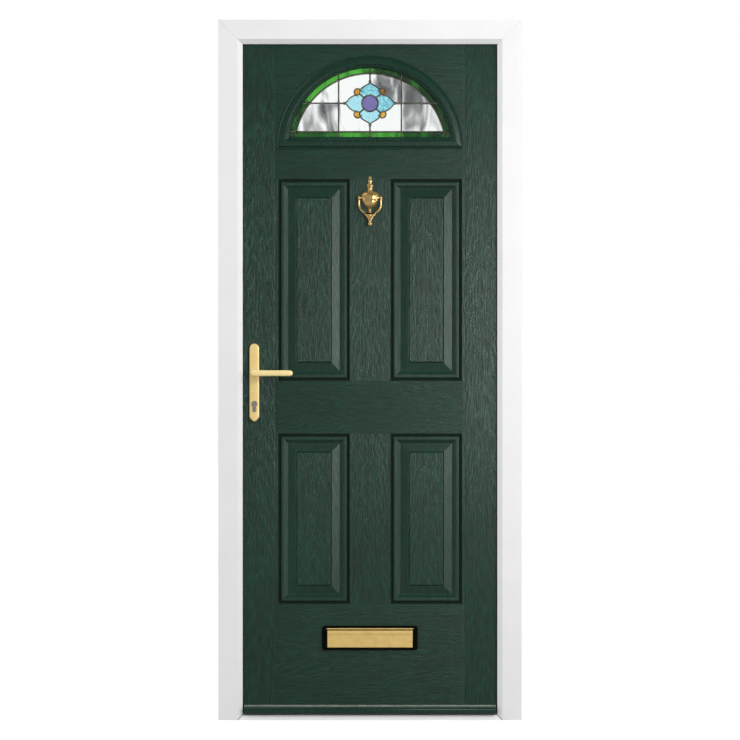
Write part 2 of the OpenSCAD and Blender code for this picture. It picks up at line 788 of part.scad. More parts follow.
module top_rail() color([0.72, 0.55, 0.36]) rail(leaf_z1 - top_rail_h, leaf_z1);

module bottom_rail() color([0.72, 0.55, 0.36]) rail(leaf_z0, leaf_z0 + bottom_rail_h);

// Sloped top, round nose, and a drip groove underneath
module weather_bar() color([0.15, 0.23, 0.19]) along_x(-bar_x, bar_x) difference() {
    union() {
        polygon([[leaf_y0, leaf_z0], [leaf_y0, leaf_z0 + bar_h], [leaf_y0 - bar_out + 7, leaf_z0 + bar_h - 6],
            [leaf_y0 - bar_out + 7, leaf_z0]]);
        translate([leaf_y0 - bar_out + 7, leaf_z0 + bar_h - 13]) circle(r = 7);
        translate([leaf_y0 - bar_out, leaf_z0]) square([8, bar_h - 13]);
    }
    translate([leaf_y0 - bar_out + 5, leaf_z0]) circle(r = 2.5);
}

// Half-moon glazing: two cassettes clamp the glass unit through the cut-out

// Cassette moulding as shares of its width, from its edge, and of its ridge's height
cassette_shape = [[0, 0], [0, 0.26], [0.04, 0.35], [0.11, 0.35], [0.17, 0.26], [0.25, 0.57], [0.31, 0.61],
    [0.67, 0.96], [0.72, 1], [0.78, 0.96], [0.97, 0.26], [1, 0.17]];
glass_rest = -(unit_y0 - leaf_y0 - run_gap);
cassette_steps = concat([for (p = cassette_shape) [p[0] * sight_in, p[1] * ridge_h]],
    [[sight_in, glass_rest], [rim_in, glass_rest], [rim_in, 0]]);

// The half-moon's foot between its mitres, or the arch above it, which laps over the mitres a little
module cassette_corner(is_arch) {
    inner_x = sqrt(pow(cassette_r - sight_in, 2) - sight_in * sight_in);
    low = is_arch ? -mitre_lap : 0;
    foot = [[cassette_r, low], [inner_x, sight_in + low], [-inner_x, sight_in + low], [-cassette_r, low]];
    above = [[-cassette_r - 1, low], [-cassette_r - 1, cassette_r + 1], [cassette_r + 1, cassette_r + 1],
        [cassette_r + 1, low]];
    along_y(leaf_y0 - 50, leaf_y1 + 50) translate([0, arch_z]) polygon(is_arch ? concat(foot, above) : foot);
}

module cassette_screw_places() {
    screw_ring = cassette_r - screw_in;
    for (a = arch_screws) translate([screw_ring * cos(a), 0, arch_z + screw_ring * sin(a)]) children();
    for (x = foot_screws) translate([x, 0, arch_z + screw_in]) children();
}

module cassette() {
    intersection() {
        translate([0, leaf_y0, arch_z]) rotate([90, 0, 0]) rotate_extrude(angle = 180, $fn = 180)
            polygon([for (p = cassette_steps) [cassette_r - p[0], p[1]]]);
        cassette_corner(true);
    }
    intersection() {
        along_x(-cassette_r, cassette_r)
            polygon([for (p = cassette_steps) [leaf_y0 - p[1], arch_z + p[0]]]);
        cassette_corner(false);
    }
    cassette_screw_places() rod_y([0, leaf_y0 - 1, 0], leaf_t / 2 + 1 - run_gap, boss_r);
}

module outer_cassette() color([0.15, 0.23, 0.19]) difference() {
    cassette();
    cassette_screw_places() rod_y([0, leaf_y0 + 2, 0], leaf_t, screw_r + screw_gap);
}

module inner_cassette() color([0.93, 0.93, 0.92]) difference() {
    indoors() cassette();
    cassette_screw_places() {
        rod_y([0, leaf_mid, 0], leaf_t, screw_r + screw_gap);
        rod_y([0, leaf_y1 + 2, 0], leaf_t, screw_head_r + screw_gap);
    }
}

module cassette_screws() color([0.7, 0.71, 0.72])
    cassette_screw_places() translate([0, leaf_y1 + 5, 0]) rotate([90, 0, 0])
        rotate_extrude() polygon([[0, 0], [screw_head_r - 1, 0], [screw_head_r, 1], [screw_head_r, 3],
            [screw_r, 3], [screw_r, leaf_t - 2], [0, leaf_t]]);

module outer_pane() color([0.85, 0.92, 0.9, 0.4]) along_y(unit_y0, unit_y0 + pane_t) half_moon(unit_in);

module inner_pane() color([0.85, 0.92, 0.9, 0.4]) along_y(unit_y1 - pane_t, unit_y1) half_moon(unit_in);

module spacer_ring() difference() {
    half_moon(unit_in + 0.5);
    half_moon(unit_in + 0.5 + spacer_w);
}

module glazing_spacer() color([0.1, 0.1, 0.1]) {
    along_y(unit_y0 + pane_t, light_y0) spacer_ring();
    along_y(light_y1, unit_y1 - pane_t) spacer_ring();
}

// Leaded light: thin lines where the cames run, widened for the flanges and cut from the glass

function petal_half(tip, half) = concat(
    bezier([[0, tip], [0.06 * half, tip - 0.42 * half], [0.84 * half, tip - 0.4 * half],
        [half, petal_belly]], 6),
    bezier([[half, petal_belly], [1.08 * half, 0.78 * petal_belly], [0.84 * half, 0.61 * petal_belly],
        [0.4 * half, 0.33 * petal_belly]], 4));

module petal(tip, half) {
    side = petal_half(tip, half);
    polygon(concat(side, [for (i = [len(side) - 1:-1:1]) [-side[i][0], side[i][1]]]));
}

module each_petal() {
    for (a = [0, 180]) rotate(a) petal(petal_tip_z, petal_half_z);
    for (a = [90, 270]) rotate(a) petal(petal_tip_x, petal_half_x);
}

module amber_places() {
    for (x = [-1, 1])
        for (z = [-1, 1])
            translate([x * (petal_half_z + 0.55 * amber_r), z * (petal_half_x + 0.64 * amber_r)]) children();
}

module outline(line) difference() {
    offset(delta = line / 2) children();
    offset(delta = -line / 2) children();
}

module at_flower() translate([0, flower_z]) children();

module came_lines() {
    line = heart_w;
    difference() {
        half_moon(rim_in);
        half_moon(rim_in + line);
    }
    difference() {
        half_moon(border_in - line / 2);
        half_moon(border_in + line / 2);
    }
    intersection() {
        half_moon(rim_in);
        union() {
            for (x = [-upright_x, upright_x]) translate([x - line / 2, arch_z]) square([line, cassette_r]);
            translate([-line / 2, arch_z]) square([line, flower_up - petal_tip_z]);
            translate([-line / 2, flower_z + petal_tip_z]) square([line, cassette_r]);
            for (x = [-cassette_r, petal_tip_x])
                translate([x, flower_z - line / 2]) square([cassette_r - petal_tip_x, line]);
            translate([-cassette_r, arch_z + border_in - line / 2]) square([2 * cassette_r, line]);
            for (x = [-1, 1]) translate([x * (cassette_r - border_in - 4) - line / 2, arch_z])
                square([line, border_in]);
        }
    }
    at_flower() {
        outline(line) circle(r = flower_boss_r, $fn = 40);
        difference() {
            union() {
                for (a = [0, 180]) rotate(a) outline(line) petal(petal_tip_z, petal_half_z);
                for (a = [90, 270]) rotate(a) outline(line) petal(petal_tip_x, petal_half_x);
                difference() {
                    amber_places() outline(line) circle(r = amber_r, $fn = 28);
                    each_petal();
                }
            }
            circle(r = flower_boss_r, $fn = 40);
        }
    }
}

module flower() at_flower() {
    each_petal();
    circle(r = flower_boss_r, $fn = 40);
    amber_places() circle(r = amber_r, $fn = 28);
}

module lead_came() color([0.42, 0.4, 0.37]) {
    flange = (light_t - glass_t) / 2 - glass_gap / 2;
    for (y = [light_y0, light_y1 - flange]) along_y(y, y + flange) intersection() {
        offset(delta = (came_w - heart_w) / 2) came_lines();
        half_moon(rim_in);
    }
    along_y(light_y0, light_y1) came_lines();
}

module light_glass() along_y(leaf_mid - glass_t / 2, leaf_mid + glass_t / 2)
    offset(delta = -glass_gap) difference() {
        children();
        came_lines();
    }

module green_border_glass() color([0.16, 0.5, 0.12]) light_glass() difference() {
    half_moon(rim_in);
    half_moon(border_in);
}

module textured_glass() color([0.88, 0.88, 0.88]) light_glass() difference() {
    half_moon(border_in);
    flower();
}

module blue_petal_glass() color([0.55, 0.72, 0.85]) light_glass() at_flower() difference() {
    each_petal();
    circle(r = flower_boss_r, $fn = 40);
}

module violet_boss_glass() color([0.4, 0.3, 0.6]) light_glass()
    at_flower() circle(r = flower_boss_r, $fn = 40);

module amber_glass() color([0.85, 0.6, 0.15]) light_glass() at_flower() difference() {
    amber_places() circle(r = amber_r, $fn = 28);
    each_petal();
}

// Lock: faceplate, cases, bolts, hooks and the rods between them

module face_slot(z, half_h) {
    box([-leaf_x - 1, leaf_mid - slot_y, z - half_h], [case_x + 1, leaf_mid + slot_y, z + half_h]);
}

module cylinder_screw_place() translate([-leaf_x, leaf_mid, cylinder_screw_z]) rotate([0, 90, 0]) children();

module lock_faceplate() color([0.74, 0.75, 0.76]) difference() {
    box([-leaf_x, leaf_mid - faceplate_w / 2, face_z0], [case_x, leaf_mid + faceplate_w / 2, face_z1]);
    face_slot(latch_slot[0], latch_slot[1]);
    face_slot(dead_slot[0], dead_slot[1]);
    for (z = hooks) face_slot(z + 14.5, 24.5);
    face_screw_places() screw(32, screw_gap);
    cylinder_screw_place() screw(backset, screw_gap);
}

// A folded steel case, open to the faceplate, with a notch at each end for the drive rod
module lock_case(z0, z1, depth) difference() {
    box([case_x, case_y0, z0], [case_x + depth, case_y0 + case_t, z1]);
    box([case_x - 1, case_y0 + case_wall, z0 + case_wall],
        [case_x + depth - case_wall, case_y0 + case_t - case_wall, z1 - case_wall]);
    box([case_x - 1, leaf_mid - rod_w / 2 - run_gap, z0 - 1],
        [rod_x0 + rod_t + run_gap, leaf_mid + rod_w / 2 + run_gap, z1 + 1]);
}

module lock_gearbox() color([0.66, 0.67, 0.68]) difference() {
    lock_case(gearbox_z0, gearbox_z1, gearbox_l);
    along_y(case_y0 - 1, case_y0 + case_t + 1) {
        euro_outline(fit_gap);
        translate([spindle_x, spindle_z]) circle(r = spindle_w * 0.9);
    }
}

module hook_cases() color([0.66, 0.67, 0.68]) for (z = hooks) {
    lock_case(z - hook_case_up, z + hook_case_up, hook_case_l);
    rod_y([hook_x, case_y0 + case_wall / 2, z], case_t - case_wall, hook_pin_r);
}

// The latch's nose is cut back on the side that meets the keep when the leaf closes
module latch_bolt() color([0.74, 0.75, 0.76]) translate([0, 0, latch_z - latch_h / 2]) linear_extrude(latch_h)
    polygon([[-leaf_x - latch_reach, leaf_mid + bolt_t / 2],
        [-leaf_x - latch_reach, leaf_mid + bolt_t / 2 - 2.5], [-leaf_x, leaf_mid - bolt_t / 2],
        [-leaf_x + 27, leaf_mid - bolt_t / 2], [-leaf_x + 27, leaf_mid + bolt_t / 2]]);

module dead_bolt() color([0.74, 0.75, 0.76])
    box([-leaf_x + run_gap, leaf_mid - bolt_t / 2, dead_z - dead_h / 2],
        [-leaf_x + 38, leaf_mid + bolt_t / 2, dead_z + dead_h / 2]);

module hook(z) color([0.74, 0.75, 0.76]) difference() {
    translate([hook_x, 0, z]) along_y(leaf_mid - bolt_t / 2, leaf_mid + bolt_t / 2) {
        circle(r = hook_hub_r);
        translate([-7, 0]) square([14, hook_l]);
        translate([-hook_in + faceplate_t + 2, hook_l - 6]) square([hook_in, 6]);
    }
    rod_y([hook_x, case_y0, z], case_t, hook_pin_r + pin_gap);
}

module upper_hook() hook(hooks[1]);

module lower_hook() hook(hooks[0]);

// Each rod runs between a hook case and the gearbox, and its travel stays clear of screw and hub
module drive_rods() color([0.74, 0.75, 0.76])
    for (ends = [[hooks[0] + hook_l + 4, cylinder_screw_z - screw_r - 3 - rod_travel],
            [gearbox_z1 - 25, hooks[1] - hook_hub_r - 13 - rod_travel]])
        box([rod_x0, leaf_mid - rod_w / 2, ends[0]], [rod_x0 + rod_t, leaf_mid + rod_w / 2, ends[1]]);

module lock_follower() color([0.66, 0.6, 0.4]) difference() {
    rod_y([spindle_x, leaf_mid - bolt_t / 2, spindle_z], bolt_t, spindle_w * 1.3);
    spindle_bar(screw_gap);
}

module spindle_bar(grow) {
    side = spindle_w / 2 + grow;
    reach = leaf_mid - lever_y - lever_t / 2 - 3 + grow;
    box([spindle_x - side, leaf_mid - reach, spindle_z - side],
        [spindle_x + side, leaf_mid + reach, spindle_z + side]);
}

module spindle() color([0.7, 0.71, 0.72]) spindle_bar(0);

// Cylinder: the cam turns with the outer plug in the gap in the middle of the body
module cylinder_body() color([0.78, 0.78, 0.77]) difference() {
    along_y(plate_y - 2, 2 * leaf_mid - plate_y + 2) euro_outline(0);
    rod_y([spindle_x, plate_y - 3, cylinder_z], 2 * far, plug_r + pin_gap);
    rod_y([spindle_x, leaf_mid - 5, cylinder_z], 10, 16);
    cylinder_screw_place() screw(backset, screw_gap);
}

module key_slot() box([spindle_x - 1, plate_y - 4, cylinder_z - plug_r + 1.5],
    [spindle_x + 1, plate_y + 8, cylinder_z + 2]);

module outer_plug() color([0.72, 0.6, 0.32]) difference() {
    union() {
        rod_y([spindle_x, plate_y - 2.3, cylinder_z], leaf_mid + 4.5 - plate_y + 2.3, plug_r);
        along_y(leaf_mid - 4.5, leaf_mid + 4.5) translate([spindle_x, cylinder_z]) {
            circle(r = cylinder_r);
            translate([-4, 0]) square([8, 14]);
        }
    }
    key_slot();
}

module inner_plug() color([0.72, 0.6, 0.32]) indoors() difference() {
    rod_y([spindle_x, plate_y - 2.3, cylinder_z], leaf_mid - 5 - plate_y + 2.3, plug_r);
    key_slot();
}

// Handles: a hollow cast backplate and a lever on each side

module plate_body(shrink, depth, edge) hull()
    for (d = plate_discs) translate([spindle_x, leaf_y0, d[0]]) rotate([90, 0, 0]) {
        cylinder(r = d[1] - shrink, h = depth - edge, $fn = 40);
        cylinder(r = d[1] - shrink - edge, h = depth, $fn = 40);
    }

module backplate() difference() {
    plate_body(0, plate_t, plate_edge);
    difference() {
        translate([0, 0.01, 0]) plate_body(plate_wall, plate_t - plate_wall, 1);
        rod_y([spindle_x, plate_y, spindle_z], plate_t + 1, journal_r + 3);
        for (z = handle_bolts) rod_y([spindle_x, plate_y, z], plate_t + 1, bolt_r + 2);
        along_y(plate_y, leaf_y0 + 1) euro_outline(2);
    }
    rod_y([spindle_x, plate_y - 1, spindle_z], plate_t + 2, journal_r + pin_gap);
    along_y(plate_y - 1, leaf_y0 + 1) euro_outline(fit_gap);
}

module outer_backplate() color([0.8, 0.62, 0.25]) difference() {
    backplate();
    for (z = handle_bolts) rod_y([spindle_x, plate_y + 2, z], plate_t, bolt_r + screw_gap);
}

module inner_backplate() color([0.8, 0.62, 0.25]) difference() {
    indoors() backplate();
    for (z = handle_bolts) rod_y([spindle_x, leaf_y1 - 1, z], plate_t + 2, bolt_r + screw_gap);
}

module lever() difference() {
    union() {
        rod_y([spindle_x, lever_y, spindle_z], leaf_y0 - 1 - lever_y, journal_r);
        hull() {
            rod_y([spindle_x, lever_y - lever_t / 2 + 2, spindle_z], lever_t - 4, lever_h / 2, $fn = 40);
            rod_y([spindle_x, lever_y - lever_t / 2, spindle_z], lever_t, lever_h / 2 - 2, $fn = 40);
            translate([spindle_x + lever_l - lever_h * 0.44, lever_y, spindle_z])
                scale([1, lever_t / lever_h / 0.88, 1]) sphere(r = lever_h * 0.44, $fn = 36);
        }
    }
    spindle_bar(screw_gap);
}

module outer_lever() color([0.8, 0.62, 0.25]) lever();

module inner_lever() color([0.8, 0.62, 0.25]) indoors() lever();

// Letterplate: surround, sleeve through the leaf, and a flap hung from its roll on each side

module letter_surround() difference() {
    along_y(leaf_y0 - letter_t, leaf_y0) translate([0, letter_z]) round_rect(letter_w, letter_h, 4);
    along_y(leaf_y0 - letter_t - 1, leaf_y0 - window_back) translate([0, letter_z])
        square([window_w, window_h], center = true);
    along_y(leaf_y0 - letter_t, leaf_y0 + 1) translate([0, letter_z]) square([slot_w, slot_h], center = true);
    rod_x([-flap_w / 2 - 7, roll_y, roll_z], flap_w + 14, flap_pin_r + pin_gap);
}

module letterplate_frame() color([0.05, 0.05, 0.05]) difference() {
    letter_surround();
    both_sides() rod_y([letter_bolt_x, leaf_y0 - letter_t + 3, letter_bolt_z], letter_t, bolt_r + screw_gap);
}

module letterplate_inner_frame() color([0.8, 0.62, 0.25]) difference() {
    indoors() letter_surround();
    both_sides() rod_y([letter_bolt_x, leaf_y1 - 1, letter_bolt_z], letter_t + 2, bolt_r + screw_gap);
}

module letterplate_sleeve() color([0.1, 0.1, 0.1])
    along_y(leaf_y0, leaf_y1) translate([0, letter_z]) difference() {
        square([slot_w + 2 * sleeve_t, slot_h + 2 * sleeve_t], center = true);
        square([slot_w, slot_h], center = true);
    }

module flap() {
    rod_x([-flap_w / 2, roll_y, roll_z], flap_w, roll_r);
    rod_x([-flap_w / 2 - 6, roll_y, roll_z], flap_w + 12, flap_pin_r);
    along_x(-flap_w / 2, flap_w / 2)
        polygon([[roll_y, roll_z], [roll_y, roll_z - 4.5], [roll_y - 1, roll_z - 5.5],
            [roll_y - 1, flap_z0 + 1.5], [roll_y, flap_z0], [roll_y - 1 + flap_t, flap_z0],
            [roll_y - 1 + flap_t, roll_z - 4], [roll_y + 1.5, roll_z - 3], [roll_y + 1.5, roll_z]]);
}

module outer_flap() color([0.8, 0.62, 0.25]) flap();

module inner_flap() color([0.8, 0.62, 0.25]) indoors() flap();

// Knocker: a half urn against the leaf, a clapper on two side pivots, a button under its ball

urn_half = concat(
    arc(0, 61.2, 4.8, 90, -50, 8),
    bezier([[3.1, 57.5], [7.5, 55.5], [6.5, 46], [4.6, 41.6]], 5),
    [[6.5, 40]],
    arc(9.4, 37, 2.6, 80, -80, 5),
    bezier([[8.4, 33.5], [9.4, 28], [6.4, 26], [6.8, 21.5]], 5),
    bezier([[6.8, 21.5], [8, 15], [25, 16], [28.4, 7.5]], 8),
    [[28.4, 5.5], [27, 4.5], [27, -9.5], [28, -10.5], [28, -12]],
    bezier([[25.5, -12], [24, -22], [12, -28], [7.5, -33]], 7),
    bezier([[7.5, -33], [5, -36], [3.8, -38], [3.6, -40.5]], 3),
    arc(0, -43.3, 4.2, 40, -90, 6));

module knocker_urn() color([0.8, 0.62, 0.25]) difference() {
    union() {
        translate([0, leaf_y0, knocker_z]) rotate([0, 0, 180]) rotate_extrude(angle = 180) polygon(urn_half);
        rod_x([-arm_x - 4, knocker_y, knocker_z], 2 * arm_x + 8, knocker_pin_r);
    }
    rod_y([0, leaf_y0 - 12, urn_bolt_z], 13, bolt_r + screw_gap);
}

module knocker_clapper() color([0.8, 0.62, 0.25]) difference() {
    translate([0, knocker_y, knocker_z]) {
        both_sides() {
            rod_x([arm_x - arm_r, 0, 0], 2 * arm_r, knocker_pin_r + 3);
            translate([arm_x, 0, -20]) cylinder(r = arm_r, h = 17.5);
            translate([arm_x, 0, -20]) sphere(r = arm_r + 0.6);
            translate([arm_x - 28, 0, -20]) rotate([90, 0, 0]) rotate([0, 0, -60]) rotate_extrude(angle = 60)
                translate([28, 0]) circle(r = arm_r);
        }
        along_y(-3.5, 3.5)
            polygon([[-22.5, -41.5], [-14, -46.5], [0, -52], [14, -46.5], [22.5, -41.5], [14.5, -57],
                [4.5, -70], [-4.5, -70], [-14.5, -57]]);
        rotate_extrude()
            polygon(concat([[0, -66], [3.4, -66], [3.4, -71]], arc(0, -78, ball_r, 55, -90, 10)));
    }
    rod_x([-arm_x - 10, knocker_y, knocker_z], 2 * arm_x + 20, knocker_pin_r + pin_gap);
}

module knocker_strike() color([0.8, 0.62, 0.25]) difference() {
    translate([0, leaf_y0, strike_z]) rotate([90, 0, 0]) rotate_extrude()
        polygon([[0, 0], [9, 0], [9, 1.5], [6.5, 3], [6, knocker_out - ball_r - run_gap - 0.8],
            [5, knocker_out - ball_r - run_gap], [0, knocker_out - ball_r - run_gap]]);
    rod_y([0, leaf_y0 - 5, strike_z], 6, bolt_r + screw_gap);
}

// A through bolt from its head indoors to its tip in the piece outdoors
module through_bolt(x, z, y_tip, y_head) {
    rod_y([x, y_tip, z], y_head - y_tip, bolt_r);
    translate([x, y_head, z]) rotate([-90, 0, 0]) cylinder(r1 = bolt_head_r, r2 = bolt_head_r - 1.2, h = 2.5);
}

module through_bolts() color([0.8, 0.62, 0.25]) {
    for (z = handle_bolts) through_bolt(spindle_x, z, plate_y + 3, leaf_y1 + plate_t);
    both_sides() through_bolt(letter_bolt_x, letter_bolt_z, leaf_y0 - letter_t + 4, leaf_y1 + letter_t);
    through_bolt(0, urn_bolt_z, leaf_y0 - 11, leaf_y1);
    through_bolt(0, strike_z, leaf_y0 - 4, leaf_y1);
}

module leaf_screws() color([0.7, 0.71, 0.72]) {
    hinge_door_screw_places() screw(32);
    face_screw_places() screw(32);
    cylinder_screw_place() screw(backset);
}

lock_jamb();
hinge_jamb();
frame_head();
threshold();
frame_reinforcement();
frame_seal();
threshold_seal();
centre_keep();
hook_keeps();
frame_screws();
hinge_frame_leaves();
hinge_pins();
outer_skin();
inner_skin();
foam_core();
lock_stile();
hinge_stile();
top_rail();
bottom_rail();
weather_bar();
outer_cassette();
inner_cassette();
cassette_screws();
outer_pane();
inner_pane();
glazing_spacer();
lead_came();
green_border_glass();
textured_glass();
blue_petal_glass();
violet_boss_glass();
amber_glass();
lock_faceplate();
lock_gearbox();
hook_cases();
outer_backplate();
inner_backplate();
cylinder_body();
letterplate_frame();
letterplate_sleeve();
letterplate_inner_frame();
knocker_urn();
knocker_strike();
through_bolts();
hinge_door_leaves();
leaf_screws();
outer_lever();
inner_lever();
spindle();
lock_follower();
latch_bolt();
dead_bolt();
upper_hook();
lower_hook();
drive_rods();
outer_flap();
inner_flap();
knocker_clapper();
outer_plug();
inner_plug();
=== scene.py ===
from math import asin, cos, pi, radians, sin, sqrt

import bmesh
import bpy
import numpy as np
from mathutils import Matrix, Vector
from mathutils.geometry import tessellate_polygon


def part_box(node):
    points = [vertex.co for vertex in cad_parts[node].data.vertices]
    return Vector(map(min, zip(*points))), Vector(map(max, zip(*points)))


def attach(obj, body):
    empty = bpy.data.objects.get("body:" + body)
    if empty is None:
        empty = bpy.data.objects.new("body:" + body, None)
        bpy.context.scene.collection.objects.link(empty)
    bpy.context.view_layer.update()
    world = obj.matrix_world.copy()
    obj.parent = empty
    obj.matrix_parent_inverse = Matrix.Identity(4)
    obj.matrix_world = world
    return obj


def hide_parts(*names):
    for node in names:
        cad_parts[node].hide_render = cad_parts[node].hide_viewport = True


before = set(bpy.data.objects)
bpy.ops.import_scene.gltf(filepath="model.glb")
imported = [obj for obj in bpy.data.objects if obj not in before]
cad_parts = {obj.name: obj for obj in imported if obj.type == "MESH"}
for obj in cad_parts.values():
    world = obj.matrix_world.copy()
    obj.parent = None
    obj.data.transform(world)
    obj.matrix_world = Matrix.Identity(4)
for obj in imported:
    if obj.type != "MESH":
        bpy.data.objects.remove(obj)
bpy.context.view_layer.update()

# Sizes in millimetres, in the frame of the part's source
MM = 0.001
LEAF_X, LEAF_Z0, LEAF_Z1 = 392.0, 22.0, 2037.0
OUT_Y, IN_Y, MID_Y = -15.0, 29.0, 7.0
SKIN_T = 2.5
PANEL_X0, PANEL_X1 = 61.0, 276.0
PANEL_ROWS = ((347.0, 859.0), (1017.0, 1623.0))
BOARD_X = 284.0
ARCH_Z, ARCH_R = 1713.0, 281.0
SPINDLE_X, SPINDLE_Z, CYLINDER_Z = -347.0, 1040.0, 948.0
LETTER_Z = 246.0
KNOCKER_Z, KNOCKER_Y = 1566.0, -29.0
# Mitre at the frame's foot, in metres: the distance from the middle and the height add up to this
MITRE = 0.397


# Mesh helpers

def quads(rows, cols, close_rows=False, close_cols=False):
    """Corner numbers of the quads between the rows and columns of a grid of points."""
    i = np.arange(rows if close_rows else rows - 1)[:, None]
    j = np.arange(cols if close_cols else cols - 1)[None, :]
    k, m = (i + 1) % rows, (j + 1) % cols
    return np.stack([i * cols + j, i * cols + m, k * cols + m, k * cols + j], -1).reshape(-1, 4).tolist()


def capped(rows, cols):
    """The quads of a tube of rows and closed columns, and a face over each end."""
    return quads(rows, cols, close_cols=True) + [list(range(cols)), list(range((rows - 1) * cols, rows * cols))]


def mesh_piece(name, points, faces, finish, body, slot, stands_for, sharp, tidy=True):
    """A piece from points in millimetres, with doubles merged and faces outwards, riding on its body."""
    mesh = bpy.data.meshes.new(name)
    mesh.from_pydata((np.asarray(points) * MM).tolist(), [], faces)
    if tidy:
        bm = bmesh.new()
        bm.from_mesh(mesh)
        bmesh.ops.remove_doubles(bm, verts=bm.verts, dist=1e-6)
        bmesh.ops.dissolve_degenerate(bm, edges=bm.edges, dist=1e-7)
        bmesh.ops.recalc_face_normals(bm, faces=bm.faces)
        bm.to_mesh(mesh)
        bm.free()
    mesh.shade_smooth()
    mesh.set_sharp_from_angle(angle=radians(sharp))
    mesh.materials.append(FINISHES[finish])
    obj = bpy.data.objects.new(name, mesh)
    bpy.context.scene.collection.objects.link(obj)
    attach(obj, body)
    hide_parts(stands_for)
    return obj


def mark(obj, name, domain, values):
    """Store one number for each point or face of a piece, as an attribute for its finish to read."""
    obj.data.attributes.new(name, "FLOAT", domain).data.foreach_set("value", values.astype(np.float32))


def joined(*parts):
    """Several point and face lists as one, with the corner numbers moved on."""
    points, faces, start = [], [], 0
    for p, f in parts:
        p = np.asarray(p, float)
        points.append(p)
        faces += [[c + start for c in face] for face in f]
        start += len(p)
    return np.vstack(points), faces


def cut_corners(line, rounds):
    """An open line with each corner cut: it gives way to points a quarter and three quarters along its sides."""
    line = np.asarray(line, float)
    for _ in range(rounds):
        a, b = line[:-1], line[1:]
        cut = np.stack([0.75 * a + 0.25 * b, 0.25 * a + 0.75 * b], 1).reshape(-1, line.shape[1])
        line = np.vstack([line[:1], cut[1:-1], line[-1:]])
    return line


def bezier(corners, count):
    """Points of a cubic curve from its four control points."""
    t = np.linspace(0, 1, count)[:, None]
    p = np.asarray(corners, float)
    return (1 - t) ** 3 * p[0] + 3 * t * (1 - t) ** 2 * p[1] + 3 * t * t * (1 - t) * p[2] + t ** 3 * p[3]


def arc(x, z, r, a0, a1, count):
    """Points of a circle's arc from one angle to another, in degrees."""
    a = np.radians(np.linspace(a0, a1, count))
    return np.stack([x + r * np.cos(a), z + r * np.sin(a)], 1)


def sweep(path, section, closed):
    """A section carried along a path in the leaf's plane: side times the path's normal, height times the way out."""
    if closed:
        t = np.roll(path, -1, 0) - np.roll(path, 1, 0)
    else:
        t = np.vstack([path[1:], path[-1:]]) - np.vstack([path[:1], path[:-1]])
    t /= np.linalg.norm(t, axis=1)[:, None]
    out = np.array([0.0, -1.0, 0.0])
    side = np.cross(t, out)
    points = path[:, None] + section[None, :, :1] * side[:, None] + section[None, :, 1:] * out
    n, m = points.shape[:2]
    return points.reshape(-1, 3), quads(n, m, True, True) if closed else capped(n, m)


def turned(profile, centre, axis, steps):
    """A profile of radius and height turned once round an axis through centre, with flat ends where it is open."""
    a = np.radians(np.linspace(0, 360, steps, endpoint=False))
    profile = np.asarray(profile, float)
    r, h = profile[:, :1], profile[:, 1:] + 0 * a
    u, v = r * np.cos(a), r * np.sin(a)
    place = {"z": (u, v, h), "y": (u, h, v), "x": (h, u, v)}[axis]
    points = np.stack(place, -1).reshape(-1, 3) + np.asarray(centre, float)
    faces = quads(len(profile), steps, close_cols=True)
    for row in (0, len(profile) - 1):
        if profile[row, 0] > 0.01:
            faces.append(list(range(row * steps, (row + 1) * steps)))
    return points, faces


def rounded_plate(outline, y_back, y_front, edge, rows, opening=None):
    """An outline in x and z with a quarter-round front edge: rings shrink along the normals as they rise.

    An opening goes straight through, and the flat faces are then tiled between it and the outer ring.
    """
    outline = np.asarray(outline, float)
    t = np.roll(outline, -1, 0) - np.roll(outline, 1, 0)
    t /= np.linalg.norm(t, axis=1)[:, None]
    normal = np.stack([t[:, 1], -t[:, 0]], 1)
    a = np.linspace(0, pi / 2, rows)
    shrink = np.concatenate([[0], edge * (1 - np.cos(a))])
    way = np.sign(y_front - y_back)
    rise = np.concatenate([[y_back], y_front - way * edge + way * edge * np.sin(a)])
    ring = outline[None] - shrink[:, None, None] * normal[None]
    y = np.broadcast_to(rise[:, None], ring.shape[:2])
    points = np.stack([ring[..., 0], y, ring[..., 1]], -1)
    n, m = points.shape[:2]
    points = points.reshape(-1, 3)
    if opening is None:
        return points, capped(n, m)
    faces, k = quads(n, m, close_cols=True), len(opening)
    for row, level in ((0, y_back), (n - 1, y_front)):
        inner = np.stack([opening[:, 0], np.full(k, level), opening[:, 1]], 1)
        start, number = len(points), np.arange(row * m, (row + 1) * m).tolist()
        flat = tessellate_polygon([[Vector((x, z, 0)) for x, _, z in loop] for loop in (points[number], inner)])
        number += range(start, start + k)
        faces += [[number[c] for c in face] for face in flat]
        points = np.vstack([points, inner])
    wall = len(points) - 2 * k
    faces += [[wall + i, wall + (i + 1) % k, wall + k + (i + 1) % k, wall + k + i] for i in range(k)]
    return points, faces


def indoors(part):
    """The same form on the room side, mirrored in the leaf's middle plane."""
    points, faces = part
    return points * [1, -1, 1] + [0, 2 * MID_Y, 0], faces


# Node helpers

def node(tree, kind, settings=None, **inputs):
    """A node with its settings and inputs; an input named i0, i1 is by number, others by name."""
    made = tree.nodes.new(kind)
    for key, value in (settings or {}).items():
        setattr(made, key, value)
    for key, value in inputs.items():
        by_number = key[0] == "i" and key[1:].isdigit()
        socket = made.inputs[int(key[1:]) if by_number else key.replace("_", " ")]
        if isinstance(value, bpy.types.NodeSocket):
            tree.links.new(value, socket)
        else:
            socket.default_value = value
    return made


def maths(tree, operation, a, b=0.0, c=0.0):
    """One Math node's result."""
    return node(tree, "ShaderNodeMath", {"operation": operation}, i0=a, i1=b, i2=c).outputs[0]


def split(tree, vector):
    """A vector's three values."""
    return node(tree, "ShaderNodeSeparateXYZ", {}, Vector=vector).outputs


